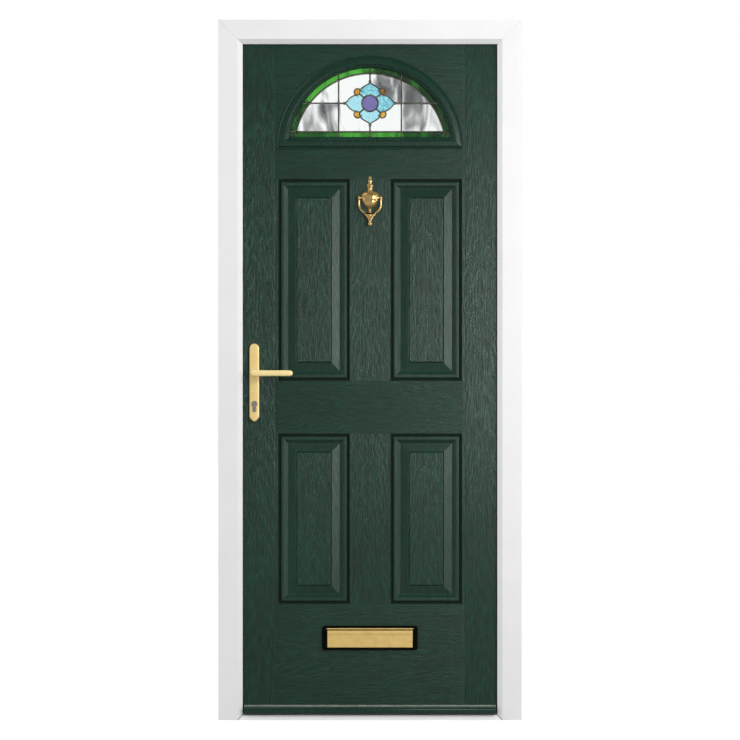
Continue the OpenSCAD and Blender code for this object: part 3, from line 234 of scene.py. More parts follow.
def noise(tree, vector, scale, detail=3.0, rough=0.55, distortion=0.0):
    """One Noise Texture's value."""
    return node(tree, "ShaderNodeTexNoise", {}, Vector=vector, Scale=scale, Detail=detail, Roughness=rough,
                Distortion=distortion).outputs[0]


def stretched(tree, vector, scale):
    """Coordinates with each direction scaled on its own."""
    return node(tree, "ShaderNodeMapping", {}, Vector=vector, Scale=scale).outputs[0]


def ramp(tree, value, stops):
    """A Color Ramp from pairs of place and colour."""
    made = node(tree, "ShaderNodeValToRGB", {}, i0=value)
    cells = made.color_ramp.elements
    while len(cells) < len(stops):
        cells.new(0.5)
    for cell, (place, colour) in zip(cells, stops):
        cell.position = place
        cell.color = (*colour, 1)
    return made.outputs[0]


def blended(tree, share, first, second, way="MIX"):
    """Two colours mixed by a share, or the first multiplied by the second by that share."""
    return node(tree, "ShaderNodeMix", {"data_type": "RGBA", "blend_type": way}, i0=share, i6=first,
                i7=(*second, 1)).outputs[2]


def marked(tree, name):
    """The numbers that a piece carries as an attribute."""
    return node(tree, "ShaderNodeAttribute", {"attribute_name": name}).outputs["Fac"]


def fade(tree, value, low, high, to_low=0.0, to_high=1.0):
    """A value carried from one range to another and held at its ends."""
    return node(tree, "ShaderNodeMapRange", {"clamp": True}, i0=value, i1=low, i2=high, i3=to_low,
                i4=to_high).outputs[0]


def new_group(name, inputs, outputs):
    """An empty node group with named inputs (kind and default) and value outputs."""
    tree = bpy.data.node_groups.new(name, "ShaderNodeTree")
    for label, kind, default in inputs:
        socket = tree.interface.new_socket(label, in_out="INPUT", socket_type=kind)
        if default is not None:
            socket.default_value = default
    for label in outputs:
        tree.interface.new_socket(label, in_out="OUTPUT", socket_type="NodeSocketFloat")
    return tree, tree.nodes.new("NodeGroupInput").outputs, tree.nodes.new("NodeGroupOutput").inputs


def embossed_grain_group():
    """Wood grain pressed into a skin, along u: streaks, the arched rings of a flat-sawn board, and pores.

    A ring is a contour of a slope along u plus a square of v, so it draws long arches down the board's middle.
    """
    rings_along, rings_bowed = 17.0, 640.0
    tree, given, out = new_group("embossed_grain", [("Vector", "NodeSocketVector", None)], ["Height", "Tone"])
    v = given["Vector"]
    streak = noise(tree, stretched(tree, v, (11, 150, 1)), 1.0, 4, 0.62, 0.9)
    wander = maths(tree, "MULTIPLY_ADD", noise(tree, stretched(tree, v, (2.2, 5, 1)), 1.0, 2, 0.5), 0.07, -0.035)
    jitter = noise(tree, stretched(tree, v, (7, 45, 1)), 1.0, 3, 0.55)
    along, side, _ = split(tree, v)
    across = maths(tree, "ADD", side, wander)
    arch = maths(tree, "MULTIPLY_ADD", maths(tree, "MULTIPLY", across, across), rings_bowed,
                 maths(tree, "MULTIPLY", along, rings_along))
    phase = maths(tree, "MULTIPLY", maths(tree, "MULTIPLY_ADD", jitter, 2.4, arch), 2 * pi)
    ring = fade(tree, maths(tree, "SINE", phase), -0.5, 0.9)
    patch = fade(tree, noise(tree, stretched(tree, v, (5, 22, 1)), 1.0, 2, 0.5), 0.38, 0.62, 0.25, 1.0)
    pore = fade(tree, noise(tree, stretched(tree, v, (32, 760, 1)), 1.0, 2, 0.5), 0.5, 0.66)
    body = maths(tree, "MULTIPLY_ADD", maths(tree, "MULTIPLY", ring, patch), 0.36,
                 maths(tree, "MULTIPLY", fade(tree, streak, 0.32, 0.68), 0.58))
    height = maths(tree, "MULTIPLY_ADD", pore, -0.36, body)
    tree.links.new(height, out["Height"])
    tree.links.new(fade(tree, height, -0.15, 0.8), out["Tone"])
    return tree


def mottle_group():
    """Cloudy variation with finer specks over it."""
    inputs = [("Vector", "NodeSocketVector", None), ("Size", "NodeSocketFloat", 20.0)]
    tree, given, out = new_group("mottle", inputs, ["Cloud", "Speck"])
    cloud = noise(tree, given["Vector"], given["Size"], 4, 0.55, 0.3)
    speck = noise(tree, given["Vector"], maths(tree, "MULTIPLY", given["Size"], 14.0), 2, 0.5)
    tree.links.new(fade(tree, cloud, 0.3, 0.7), out["Cloud"])
    tree.links.new(fade(tree, speck, 0.35, 0.65), out["Speck"])
    return tree


def brushed_group():
    """Fine hairlines along one direction, given as a stretch of the coordinates."""
    tree, given, out = new_group("brushed", [("Vector", "NodeSocketVector", None)], ["Line"])
    tree.links.new(fade(tree, noise(tree, given["Vector"], 1.0, 3, 0.6), 0.3, 0.7), out["Line"])
    return tree


GRAIN, MOTTLE, BRUSHED = embossed_grain_group(), mottle_group(), brushed_group()


def place_group(tree, group, **inputs):
    """A node group placed in a material."""
    return node(tree, "ShaderNodeGroup", {"node_tree": group}, **inputs).outputs


def finish_base(name, **sockets):
    """A material with its Principled shader's constant sockets set; returns it, its tree, shader and coordinates."""
    mat = bpy.data.materials.new(name)
    mat.use_nodes = True
    tree = mat.node_tree
    shader = tree.nodes["Principled BSDF"]
    for key, value in sockets.items():
        shader.inputs[key.replace("_", " ")].default_value = value
    where = tree.nodes.new("ShaderNodeTexCoord").outputs["Object"]
    return mat, tree, shader, where


def feed(tree, shader, **sockets):
    """Link values into the shader's sockets by name."""
    for key, value in sockets.items():
        tree.links.new(value, shader.inputs[key.replace("_", " ")])


def lift(tree, shader, height, strength, distance):
    """Height through a Bump node into the shader's normal."""
    bump = node(tree, "ShaderNodeBump", {}, Strength=strength, Distance=distance, Height=height)
    feed(tree, shader, Normal=bump.outputs[0])


def grained_skin(name, dark, light, depth, rough, specular, shade):
    """Moulded skin with wood grain from the piece's own grain map: valleys darker, ridges a little glossier.

    The piece's relief scales the grain and evens out the gloss, and its grooves get painted shade and are less
    glossy.
    """
    mat, tree, shader, where = finish_base(name, Specular_IOR_Level=specular)
    uv = node(tree, "ShaderNodeUVMap", {"uv_map": "grain"}).outputs[0]
    grain = place_group(tree, GRAIN, Vector=uv)
    cloud = place_group(tree, MOTTLE, Vector=where, Size=3.0)
    relief, deep = marked(tree, "relief"), marked(tree, "groove")
    level = maths(tree, "MULTIPLY_ADD", maths(tree, "SUBTRACT", grain["Tone"], 0.5), relief, 0.5)
    tone = maths(tree, "MULTIPLY_ADD", cloud["Cloud"], 0.2, maths(tree, "MULTIPLY", level, 0.8))
    colour = ramp(tree, tone, [(0.1, dark), (0.85, light)])
    # Painted shade: the grooves are multiplied darker by the groove attribute times the skin's shade share
    shaded = blended(tree, maths(tree, "MULTIPLY", deep, shade), colour, (0.25, 0.36, 0.31), "MULTIPLY")
    gloss = maths(tree, "MULTIPLY_ADD", relief, -0.16, fade(tree, level, 0, 1, rough + 0.26, rough + 0.08))
    feed(tree, shader, Base_Color=shaded, Roughness=maths(tree, "MULTIPLY_ADD", deep, 0.5 * shade, gloss))
    even = maths(tree, "MULTIPLY", relief, fade(tree, deep, 0.0, 1.0, 1.0, 0.2))
    lift(tree, shader, maths(tree, "MULTIPLY", grain["Height"], even), 1.0, depth)
    return mat


def moulded(name, dark, light, rough, specular, size, bump, marks=None):
    """Plain moulded plastic, rubber or paint: a faint cloud in colour, fine specks in gloss and surface.

    marks gives a colour and the share of it at a place, from the tree and the coordinates.
    """
    mat, tree, shader, where = finish_base(name, Specular_IOR_Level=specular)
    spots = place_group(tree, MOTTLE, Vector=where, Size=size)
    colour = ramp(tree, spots["Cloud"], [(0.0, dark), (1.0, light)])
    if marks:
        tint, share = marks(tree, where)
        colour = blended(tree, share, colour, tint)
    gloss = fade(tree, spots["Speck"], 0, 1, rough - 0.04, rough + 0.06)
    feed(tree, shader, Base_Color=colour, Roughness=gloss)
    lift(tree, shader, spots["Speck"], 0.5, bump)
    return mat


def foot_joints(tree, where):
    """Dirt in the mitres between threshold and jambs: dark where a place is near the mitre's slanting line."""
    x, y, z = split(tree, where)
    reach = maths(tree, "ADD", maths(tree, "ABSOLUTE", x), z)
    off = maths(tree, "ABSOLUTE", maths(tree, "SUBTRACT", reach, MITRE))
    low = maths(tree, "MULTIPLY", fade(tree, z, 0.020, 0.022, 0.9, 0.0), fade(tree, y, -0.022, -0.020, 1.0, 0.0))
    return (0.06, 0.06, 0.06), maths(tree, "MULTIPLY", low, fade(tree, off, 0.0009, 0.0018, 1.0, 0.0))


def ledge_dust_and_painted_highlight(tree, where):
    """Pale dust that also paints a highlight on faces turned up, patchy and thickest in the corner at the back of
    the weather bar's slope.
    """
    up = split(tree, node(tree, "ShaderNodeNewGeometry").outputs["Normal"])[2]
    z = split(tree, where)[2]
    patch = fade(tree, noise(tree, stretched(tree, where, (40, 150, 150)), 1.0, 4), 0.35, 0.65, 0.45, 1.0)
    corner = maths(tree, "MULTIPLY", fade(tree, up, 0.90, 0.94), fade(tree, z, 0.0385, 0.0425, 0.12, 1.0))
    # The pale grey is a painted highlight laid as dust
    return (0.30, 0.305, 0.265), maths(tree, "MULTIPLY", patch, corner)


def metal(name, dark, light, rough, hair, bump=0.00001, metallic=1.0):
    """Metal with hairlines along one direction and clouded tarnish in colour and gloss, with painted shade in a
    marked groove.
    """
    mat, tree, shader, where = finish_base(name, Metallic=metallic)
    line = place_group(tree, BRUSHED, Vector=stretched(tree, where, hair))["Line"]
    cloud = place_group(tree, MOTTLE, Vector=where, Size=45.0)["Cloud"]
    tone = maths(tree, "MULTIPLY_ADD", line, 0.35, maths(tree, "MULTIPLY", cloud, 0.65))
    colour = ramp(tree, tone, [(0.05, dark), (0.9, light)])
    # Painted shade: the marked groove is multiplied by a dark brown
    shaded = blended(tree, marked(tree, "groove"), colour, (0.10, 0.08, 0.06), "MULTIPLY")
    feed(tree, shader, Base_Color=shaded, Roughness=fade(tree, tone, 0, 1, rough + 0.06, rough - 0.05))
    lift(tree, shader, line, 0.5, bump)
    return mat


def sawn_timber(name):
    """Softwood with growth lines along the length."""
    mat, tree, shader, where = finish_base(name, Specular_IOR_Level=0.3)
    ring = noise(tree, stretched(tree, where, (60, 60, 1.6)), 1.0, 4, 0.6, 1.2)
    colour = ramp(tree, ring, [(0.3, (0.30, 0.16, 0.07)), (0.7, (0.58, 0.38, 0.19))])
    feed(tree, shader, Base_Color=colour, Roughness=fade(tree, ring, 0.3, 0.7, 0.7, 0.55))
    lift(tree, shader, ring, 0.5, 0.0002)
    return mat


def light_glass(name, stops, stretch, rough, wave, detail, bend, spread=None, ior=1.3):
    """Rolled glass: a tint that runs in streaks or clouds, and the same waves in its surface.

    spread gives the change of tint from one cut of the sheet to the next, from the place's x and z in metres.
    """
    mat, tree, shader, where = finish_base(name, Transmission_Weight=1.0, IOR=ior, Roughness=rough)
    cloud = noise(tree, stretched(tree, where, stretch), 1.0, detail, 0.55, bend)
    tone = cloud
    if spread:
        x, _, z = split(tree, where)
        tone = maths(tree, "ADD", cloud, spread(tree, x, z))
    feed(tree, shader, Base_Color=ramp(tree, tone, stops))
    lift(tree, shader, cloud, 0.6, wave)
    return mat


def border_spread(tree, x, z):
    """Border cuts: lighter on the arch's left and along the middle of the foot, darker at the sides."""
    arch = fade(tree, z, 1.845, 1.865)
    left = fade(tree, x, -0.02, 0.03, 0.27, -0.02)
    foot = maths(tree, "MULTIPLY", fade(tree, z, 1.762, 1.77, 1.0, 0.0),
                 fade(tree, maths(tree, "ABSOLUTE", x), 0.05, 0.17, 0.22, -0.02))
    sides = maths(tree, "SUBTRACT", foot, fade(tree, x, -0.1, 0.15, 0.08, 0.14))
    return maths(tree, "ADD", maths(tree, "MULTIPLY", arch, left), sides)


def clear_spread(tree, x, z):
    """Clear cuts: greyer at the upper right and at the lower ends."""
    upper = fade(tree, z, 1.845, 1.857)
    right = maths(tree, "MULTIPLY", upper, fade(tree, x, 0.0, 0.03, 0.14, -0.17))
    ends = maths(tree, "MULTIPLY", maths(tree, "SUBTRACT", 1.0, upper),
                 fade(tree, maths(tree, "ABSOLUTE", x), 0.088, 0.10, 0.12, -0.09))
    return maths(tree, "ADD", right, ends)


def petal_spread(tree, x, z):
    """Petal cuts: even on the left and below, more mottled above and on the right."""
    return maths(tree, "ADD", fade(tree, x, 0.02, 0.03, 0.08, -0.08), fade(tree, z, 1.872, 1.88, 0.04, -0.10))


def amber_spread(tree, x, z):
    """Amber cuts: the one at the upper right is browner."""
    return maths(tree, "MULTIPLY_ADD", fade(tree, x, 0.0, 0.01), fade(tree, z, 1.85, 1.86, 0.0, -0.28), 0.05)


# Finishes by kind, each with the values that its function takes
GREEN_DARK, GREEN_LIGHT = (0.0022, 0.0155, 0.0088), (0.0092, 0.0510, 0.0300)
TRIM_DARK, TRIM_LIGHT = (0.0054, 0.0300, 0.0176), (0.0072, 0.0360, 0.0212)
# Heights of fine and coarse specks, in metres
FINE_BUMP, COARSE_BUMP = 0.00002, 0.00004
SKINS = {
    "white_skin": ((0.76, 0.76, 0.75), (0.83, 0.83, 0.82), 0.0008, 0.42, 0.28, 0.25),
    "green_skin": (GREEN_DARK, GREEN_LIGHT, 0.00045, 0.28, 0.36, 1.0),
}
PLAIN = {
    "white_profile": ((0.77, 0.77, 0.77), (0.805, 0.805, 0.805), 0.32, 0.45, 6.0, FINE_BUMP, foot_joints),
    "white_moulding": ((0.78, 0.78, 0.77), (0.83, 0.83, 0.82), 0.36, 0.45, 8.0, FINE_BUMP),
    "white_metal": ((0.76, 0.76, 0.75), (0.82, 0.82, 0.81), 0.34, 0.5, 15.0, FINE_BUMP),
    "green_trim": (TRIM_DARK, TRIM_LIGHT, 0.28, 0.36, 12.0, FINE_BUMP),
    # Weather bar trim: a pale painted highlight, laid as dust, on its faces turned up
    "dusty_trim": (TRIM_DARK, TRIM_LIGHT, 0.28, 0.36, 12.0, FINE_BUMP, ledge_dust_and_painted_highlight),
    "black_rubber": ((0.006, 0.007, 0.007), (0.014, 0.015, 0.015), 0.62, 0.3, 40.0, COARSE_BUMP),
    "grey_rubber": ((0.14, 0.145, 0.15), (0.20, 0.205, 0.21), 0.62, 0.3, 40.0, COARSE_BUMP),
    "black_metal": ((0.0015, 0.0014, 0.0013), (0.003, 0.003, 0.0028), 0.5, 0.03, 40.0, 0.00003),
    "black_plastic": ((0.006, 0.006, 0.006), (0.013, 0.013, 0.013), 0.5, 0.4, 40.0, COARSE_BUMP),
    "foam": ((0.62, 0.50, 0.26), (0.78, 0.68, 0.42), 0.85, 0.2, 120.0, 0.0004),
}
METALS = {
    "galvanised": ((0.45, 0.47, 0.49), (0.66, 0.68, 0.70), 0.42, (90, 90, 60), FINE_BUMP),
    "zinc_steel": ((0.50, 0.51, 0.52), (0.72, 0.73, 0.74), 0.30, (500, 500, 20)),
    "nickel": ((0.52, 0.51, 0.50), (0.74, 0.73, 0.72), 0.24, (300, 300, 300)),
    "plug_brass": ((0.50, 0.47, 0.43), (0.74, 0.71, 0.66), 0.24, (300, 300, 300)),
    "lead": ((0.045, 0.038, 0.032), (0.22, 0.195, 0.165), 0.40, (150, 150, 150), 0.00008),
    "gold": ((0.84, 0.61, 0.23), (0.96, 0.74, 0.33), 0.38, (900, 900, 14), 0.00001, 0.3),
    # Copies of the gold as painted light and shade: a lighter one for the levers, a darker one for the flaps and
    # room frame
    "gold_lever": ((0.92, 0.67, 0.26), (1.0, 0.83, 0.42), 0.36, (9, 900, 900), 0.00001, 0.2),
    "gold_flap": ((0.68, 0.46, 0.135), (0.84, 0.61, 0.22), 0.36, (9, 900, 900), 0.00001, 0.3),
    "polished_gold": ((0.50, 0.32, 0.10), (0.82, 0.59, 0.24), 0.15, (160, 160, 160), 0.00003, 0.75),
}
GLASSES = {
    "clear_glass": ([(0.3, (0.96, 0.985, 0.975)), (0.7, (0.99, 1.0, 0.995))],
                    (4, 4, 4), 0.0, 0.00002, 3, 0.6, None, 1.15),
    "green_glass": ([(0.28, (0.003, 0.026, 0.003)), (0.48, (0.012, 0.105, 0.010)),
                     (0.66, (0.060, 0.36, 0.032)), (0.82, (0.085, 0.44, 0.045))],
                    (30, 30, 12), 0.05, 0.0010, 3, 1.0, border_spread),
    "textured_glass": ([(0.16, (0.10, 0.10, 0.105)), (0.32, (0.27, 0.275, 0.28)),
                        (0.42, (0.60, 0.60, 0.605)), (0.50, (0.97, 0.97, 0.97))],
                       (24, 24, 7), 0.03, 0.0009, 2, 1.2, clear_spread),
    "blue_glass": ([(0.30, (0.07, 0.35, 0.44)), (0.46, (0.23, 0.63, 0.75)), (0.62, (0.46, 0.81, 0.90))],
                   (150, 150, 95), 0.05, 0.0012, 3, 1.2, petal_spread),
    "violet_glass": ([(0.3, (0.09, 0.075, 0.28)), (0.7, (0.30, 0.26, 0.56))],
                     (330, 330, 330), 0.12, 0.0008, 3, 0.6),
    "amber_glass": ([(0.25, (0.22, 0.075, 0.008)), (0.48, (0.72, 0.36, 0.03)), (0.70, (0.95, 0.60, 0.10))],
                    (90, 90, 90), 0.05, 0.0008, 3, 0.8, amber_spread),
}
FINISHES = {"timber": sawn_timber("timber")}
for make, table in ((grained_skin, SKINS), (moulded, PLAIN), (metal, METALS), (light_glass, GLASSES)):
    FINISHES.update({name: make(name, *values) for name, values in table.items()})


# Leaf skins

def filled(lines, limit):
    """Sorted lines with more put in evenly wherever a gap is wider than the limit."""
    lines = np.unique(np.round(lines, 3))
    gaps = np.diff(lines)
    parts = [np.linspace(a, a + g, int(np.ceil(g / limit)), endpoint=False) for a, g in zip(lines[:-1], gaps)]
    return np.concatenate(parts + [lines[-1:]])


# Panel section as inset from the panel's edge and depth below the face
PANEL_SECTION = np.array([
    (-1.5, 0), (-0.4, 0), (0, 0.05), (0.5, 0.5), (1.4, 6.2), (2.0, 6.9), (2.8, 7.0), (6.4, 7.0), (7.2, 6.9),
    (7.9, 6.2), (9.3, 2.4), (10.2, 1.5), (11.2, 1.25), (12.2, 1.2), (18.0, 1.2), (18.9, 1.35), (19.8, 1.9),
    (21.0, 2.9), (27.6, 8.0), (28.8, 8.7), (30.0, 8.9), (31.2, 8.75), (33.0, 8.35), (52.4, 3.6), (53.6, 3.35),
    (54.4, 3.6), (55.0, 4.6), (55.8, 4.9), (56.4, 4.6), (57.0, 1.8), (57.6, 1.0), (58.4, 0.8), (61.0, 0.8)])
# Insets between which the section is a groove that gets painted shade, and a moulding with little grain
GROOVE = (0.4, 1.6, 7.8, 9.2)
MOULDING = (-0.4, 0.5, 56.4, 57.6)
# Fine joint between stile and rail: half its width and its depth
JOINT_W, JOINT_D = 0.9, 0.1
# Cut-out behind the glazing moulding: its radius and the height of its foot
LIGHT_R, LIGHT_FOOT = 266.0, ARCH_Z + 14.0
# Heights that part the three rails, the middle of each rail, and how far a board's grain is from the next one's
RAIL_PARTS, RAIL_MIDDLES, BOARD_STEP = (600.0, 1400.0), (185.0, 938.0, 1830.0), 1.37

# Openings under the furniture, as x and z ranges
HOLES = np.array([
    (SPINDLE_X - 9, SPINDLE_X + 9, SPINDLE_Z - 9, SPINDLE_Z + 9),
    (SPINDLE_X - 9, SPINDLE_X + 9, CYLINDER_Z - 25, CYLINDER_Z + 9),
    (SPINDLE_X - 3, SPINDLE_X + 3, 1114.0, 1120.0), (SPINDLE_X - 3, SPINDLE_X + 3, 906.0, 912.0),
    (-125.5, 125.5, LETTER_Z - 20, LETTER_Z + 20),
    (-139.5, -134.0, 235.0, 241.0), (134.0, 139.5, 235.0, 241.0),
    (-3, 3, 1572.0, 1578.0), (-3, 3, 1485.0, 1491.0)])


def keep_rims_sharp(mesh):
    """Mark the edges with one face as sharp, so a wall raised on them later leaves the face's shading flat."""
    owner = np.empty(len(mesh.loops), np.int32)
    mesh.loops.foreach_get("edge_index", owner)
    rim = np.bincount(owner, minlength=len(mesh.edges)) == 1
    sharp = mesh.attributes.get("sharp_edge") or mesh.attributes.new("sharp_edge", "BOOLEAN", "EDGE")
    flags = np.empty(len(mesh.edges), bool)
    sharp.data.foreach_get("value", flags)
    sharp.data.foreach_set("value", flags | rim)


def moulded_face(name, finish, node_name, room_side):
    """A skin as a height field: depth is the panel section at the least distance to a panel's edges.

    The grid's lines follow the section's insets on both axes, so the mitres lie on the cells' diagonals.
    Cells in the openings are left out, and a Solidify gives the skin its thickness inwards.
    """
    insets = filled(PANEL_SECTION[:, 0], 7.0)
    edges_x = np.array([-PANEL_X1, -PANEL_X0, PANEL_X0, PANEL_X1])
    edges_z = np.array(PANEL_ROWS).ravel()
    sign = np.array([1, -1, 1, -1])
    xs = (edges_x[:, None] + sign[:, None] * insets).ravel()
    zs = (edges_z[:, None] + sign[:, None] * insets).ravel()
    joint = np.array([-JOINT_W, 0, JOINT_W])
    xs = np.concatenate([xs, HOLES[:, :2].ravel(), [-LEAF_X, LEAF_X], BOARD_X + joint, -BOARD_X + joint])
    xs = filled(xs[np.abs(xs) <= LEAF_X], 9.0)
    round_light = np.linspace(ARCH_Z - 8, ARCH_Z + 287, 38)
    zs = filled(np.concatenate([zs, HOLES[:, 2:].ravel(), [LEAF_Z0, LEAF_Z1], round_light]), 30.0)
    x, z = np.meshgrid(xs, zs)
    depth, groove, plain, way = (np.zeros_like(x) for _ in range(4))
    for x0, x1 in ((-PANEL_X1, -PANEL_X0), (PANEL_X0, PANEL_X1)):
        for z0, z1 in PANEL_ROWS:
            inset = np.minimum(np.minimum(x - x0, x1 - x), np.minimum(z - z0, z1 - z))
            depth += np.interp(inset, *PANEL_SECTION.T)
            groove += np.interp(inset, GROOVE, (0, 1, 1, 0), 0, 0)
            plain += np.interp(inset, MOULDING, (0, 1, 1, 0), 0, 0)
            near = (x > x0 - 5) & (x < x1 + 5) & (z > z0 - 5) & (z < z1 + 5)
            way += near * np.sign((x - (x0 + x1) / 2) * (z - (z0 + z1) / 2))
    depth += JOINT_D * np.clip(1 - np.abs(np.abs(x) - BOARD_X) / JOINT_W, 0, 1)
    y = IN_Y - depth if room_side else OUT_Y + depth
    points = np.stack([x, y, z], -1).reshape(-1, 3)
    cx, cz = (xs[:-1] + xs[1:]) / 2, (zs[:-1] + zs[1:]) / 2
    gx, gz = np.meshgrid(cx, cz)
    hole = (np.hypot(gx, gz - ARCH_Z) < LIGHT_R) & (gz > LIGHT_FOOT)
    for x0, x1, z0, z1 in HOLES:
        hole |= (gx > x0) & (gx < x1) & (gz > z0) & (gz < z1)
    keep = ~hole.ravel()
    cell = np.array(quads(len(zs), len(xs)))[keep]
    slash = (way[:-1, :-1] + way[1:, 1:] + way[:-1, 1:] + way[1:, :-1]).ravel()[keep] >= 0
    first = np.where(slash[:, None], cell[:, [0, 1, 2]], cell[:, [0, 1, 3]])
    second = np.where(slash[:, None], cell[:, [0, 2, 3]], cell[:, [1, 2, 3]])
    tris = np.stack([first, second], 1).reshape(-1, 3)
    if room_side:
        tris = tris[:, ::-1]
    used, tris_used = np.unique(tris, return_inverse=True)
    corner = points[tris]
    board = np.repeat(grain_board(gx.ravel()[keep], gz.ravel()[keep]), 2, axis=0)
    upright = board[:, 0] > 0
    along = np.where(upright[:, None], corner[..., 2], corner[..., 0]) * MM
    across = np.where(upright[:, None], corner[..., 0], corner[..., 2]) * MM
    uv = np.stack([along + board[:, 1, None], across + board[:, 2, None]], -1)
    obj = mesh_piece(name, points[used], tris_used.reshape(-1, 3).tolist(), finish, "leaf", finish, node_name, 14,
                     tidy=False)
    keep_rims_sharp(obj.data)
    obj.data.uv_layers.new(name="grain").uv.foreach_set("vector", uv.ravel().astype(np.float32))
    # The groove attribute marks where the skin's finish paints shade into its colour
    mark(obj, "groove", "POINT", groove.ravel()[used])
    smooth = 1 - 0.5 * plain.ravel()[tris].mean(1)
    mark(obj, "relief", "FACE", smooth * np.where(upright, 1.0, 0.8))
    wall = obj.modifiers.new("skin", "SOLIDIFY")
    wall.thickness = SKIN_T * MM
    wall.offset = -1


def grain_board(x, z):
    """For each cell: 1 where the grain runs upright, the board's own start along its grain and its middle."""
    low, high = ((z > z0) & (z < z1) for z0, z1 in PANEL_ROWS)
    row = low + 2 * high
    stile = np.abs(x) > BOARD_X
    middle = np.abs(x) < PANEL_X0
    upright = stile | (row > 0)
    side = np.sign(x) * (PANEL_X0 + PANEL_X1) / 2
    centre_x = np.where(stile, np.sign(x) * (BOARD_X + LEAF_X) / 2, np.where(middle, 0, side))
    rail = np.digitize(z, RAIL_PARTS)
    centre = np.where(upright, centre_x, np.take(RAIL_MIDDLES, rail)) * MM
    stile_number = np.where(x > 0, 1, 2)
    panel_number = 3 + row * 3 + middle + (x > 0) * 9
    rail_number = np.take((30, 33, 38), rail)
    number = np.where(stile, stile_number, np.where(row > 0, panel_number, rail_number))
    return np.stack([upright, number * BOARD_STEP, -centre], -1)


moulded_face("leaf_outer_skin", "green_skin", "outer_skin", False)
moulded_face("leaf_inner_skin", "white_skin", "inner_skin", True)


# Glazing

def half_moon_loops(insets, count_arc=120, count_foot=30):
    """For each inset, the closed outline: an arch of radius R less the inset, and a foot at that height."""
    by_corners = [0.004, 0.996]
    insets = np.asarray(insets, float)[:, None]
    r = ARCH_R - insets
    start = np.arcsin(insets / r)
    s = np.sort(np.concatenate([np.linspace(0, 1, count_arc), by_corners]))
    a = start + s * (pi - 2 * start)
    reach = np.sqrt(r * r - insets * insets)
    t = np.sort(np.concatenate([np.linspace(0, 1, count_foot)[1:-1], by_corners]))
    x = np.concatenate([r * np.cos(a), -reach + 2 * reach * t], 1)
    z = np.concatenate([r * np.sin(a), insets + 0 * t], 1) + ARCH_Z
    return x, z


# Moulding's face as inset from its edge and height over the leaf's face
CASSETTE_FACE = np.array([
    (0, 0), (0, 2.2), (0.5, 3.4), (1.6, 4.2), (2.9, 4.2), (4.0, 3.4), (4.6, 2.6), (6.0, 2.6), (6.8, 3.4), (8.4, 6.6),
    (9.8, 7.2), (12.0, 7.5), (22.6, 9.4), (23.4, 9.0), (23.9, 9.2), (24.3, 10.6), (25.2, 11.5), (26.2, 11.4),
    (27.0, 10.4), (27.6, 9.2), (34.8, 3.2), (36.0, 2.0)])


def glazing_frame():
    """The half-moon moulding: its section carried round arch and foot, with mitred corners, back to the glass."""
    face = np.vstack([CASSETTE_FACE[:2], cut_corners(CASSETTE_FACE[1:-1], 1), CASSETTE_FACE[-1:]])
    section = np.vstack([face, [(36.0, -7.5), (26.0, -7.5), (26.0, 0)]])
    x, z = half_moon_loops(section[:, 0])
    y = np.broadcast_to(OUT_Y - section[:, 1:], x.shape)
    points = np.stack([x, y, z], -1)
    n, m = points.shape[:2]
    return points.reshape(-1, 3), quads(n, m, True, True)


mesh_piece("glazing_frame_outer", *glazing_frame(), "green_trim", "leaf", "green_trim", "outer_cassette", 40)

# Leaded light: the flower's middle, its boss, its petals' widest place, length and half width, and its amber rounds
FLOWER_UP = 138.5
FLOWER_Z = ARCH_Z + FLOWER_UP
BOSS_R, BELLY = 24.4, 36.0
TIP_Z, TIP_X = 66.0, 77.0
PETAL_UP_W, PETAL_SIDE_W = 30.9, 26.0
AMBER_R, AMBER_X, AMBER_Z = 10.96, 36.9, 33.0
# Uprights' distance from the middle, insets of the rim and border leads, and where the border's ends are tied in
UPRIGHT_X, RIM_IN, BORDER_IN = 94.4, 28.0, 53.0
END_X, STUB_X = 221.0, 224.0


def petal_line(tip, half, turn):
    """One side of a petal from its tip to the boss, and the other, as one line turned about the flower."""
    side = np.vstack([
        bezier([(0, tip), (0.06 * half, tip - 0.42 * half), (0.84 * half, tip - 0.4 * half), (half, BELLY)], 12),
        bezier([(half, BELLY), (1.08 * half, 0.78 * BELLY), (0.84 * half, 0.61 * BELLY),
                (0.4 * half, 0.33 * BELLY)], 8)[1:]])
    side = side[np.hypot(side[:, 0], side[:, 1]) > BOSS_R - 2]
    line = np.vstack([side[::-1], side[1:] * [-1, 1]])
    c, s = cos(radians(turn)), sin(radians(turn))
    return line @ np.array([[c, s], [-s, c]]) + [0, FLOWER_Z]


def came_section(width, depth, count=14):
    """A lead's rounded section: an oval flattened a little on its face."""
    a = np.linspace(0, 2 * pi, count, endpoint=False)
    flat = np.sign(np.sin(a)) * np.abs(np.sin(a)) ** 0.7
    return np.stack([width / 2 * np.cos(a), depth / 2 * flat], 1)


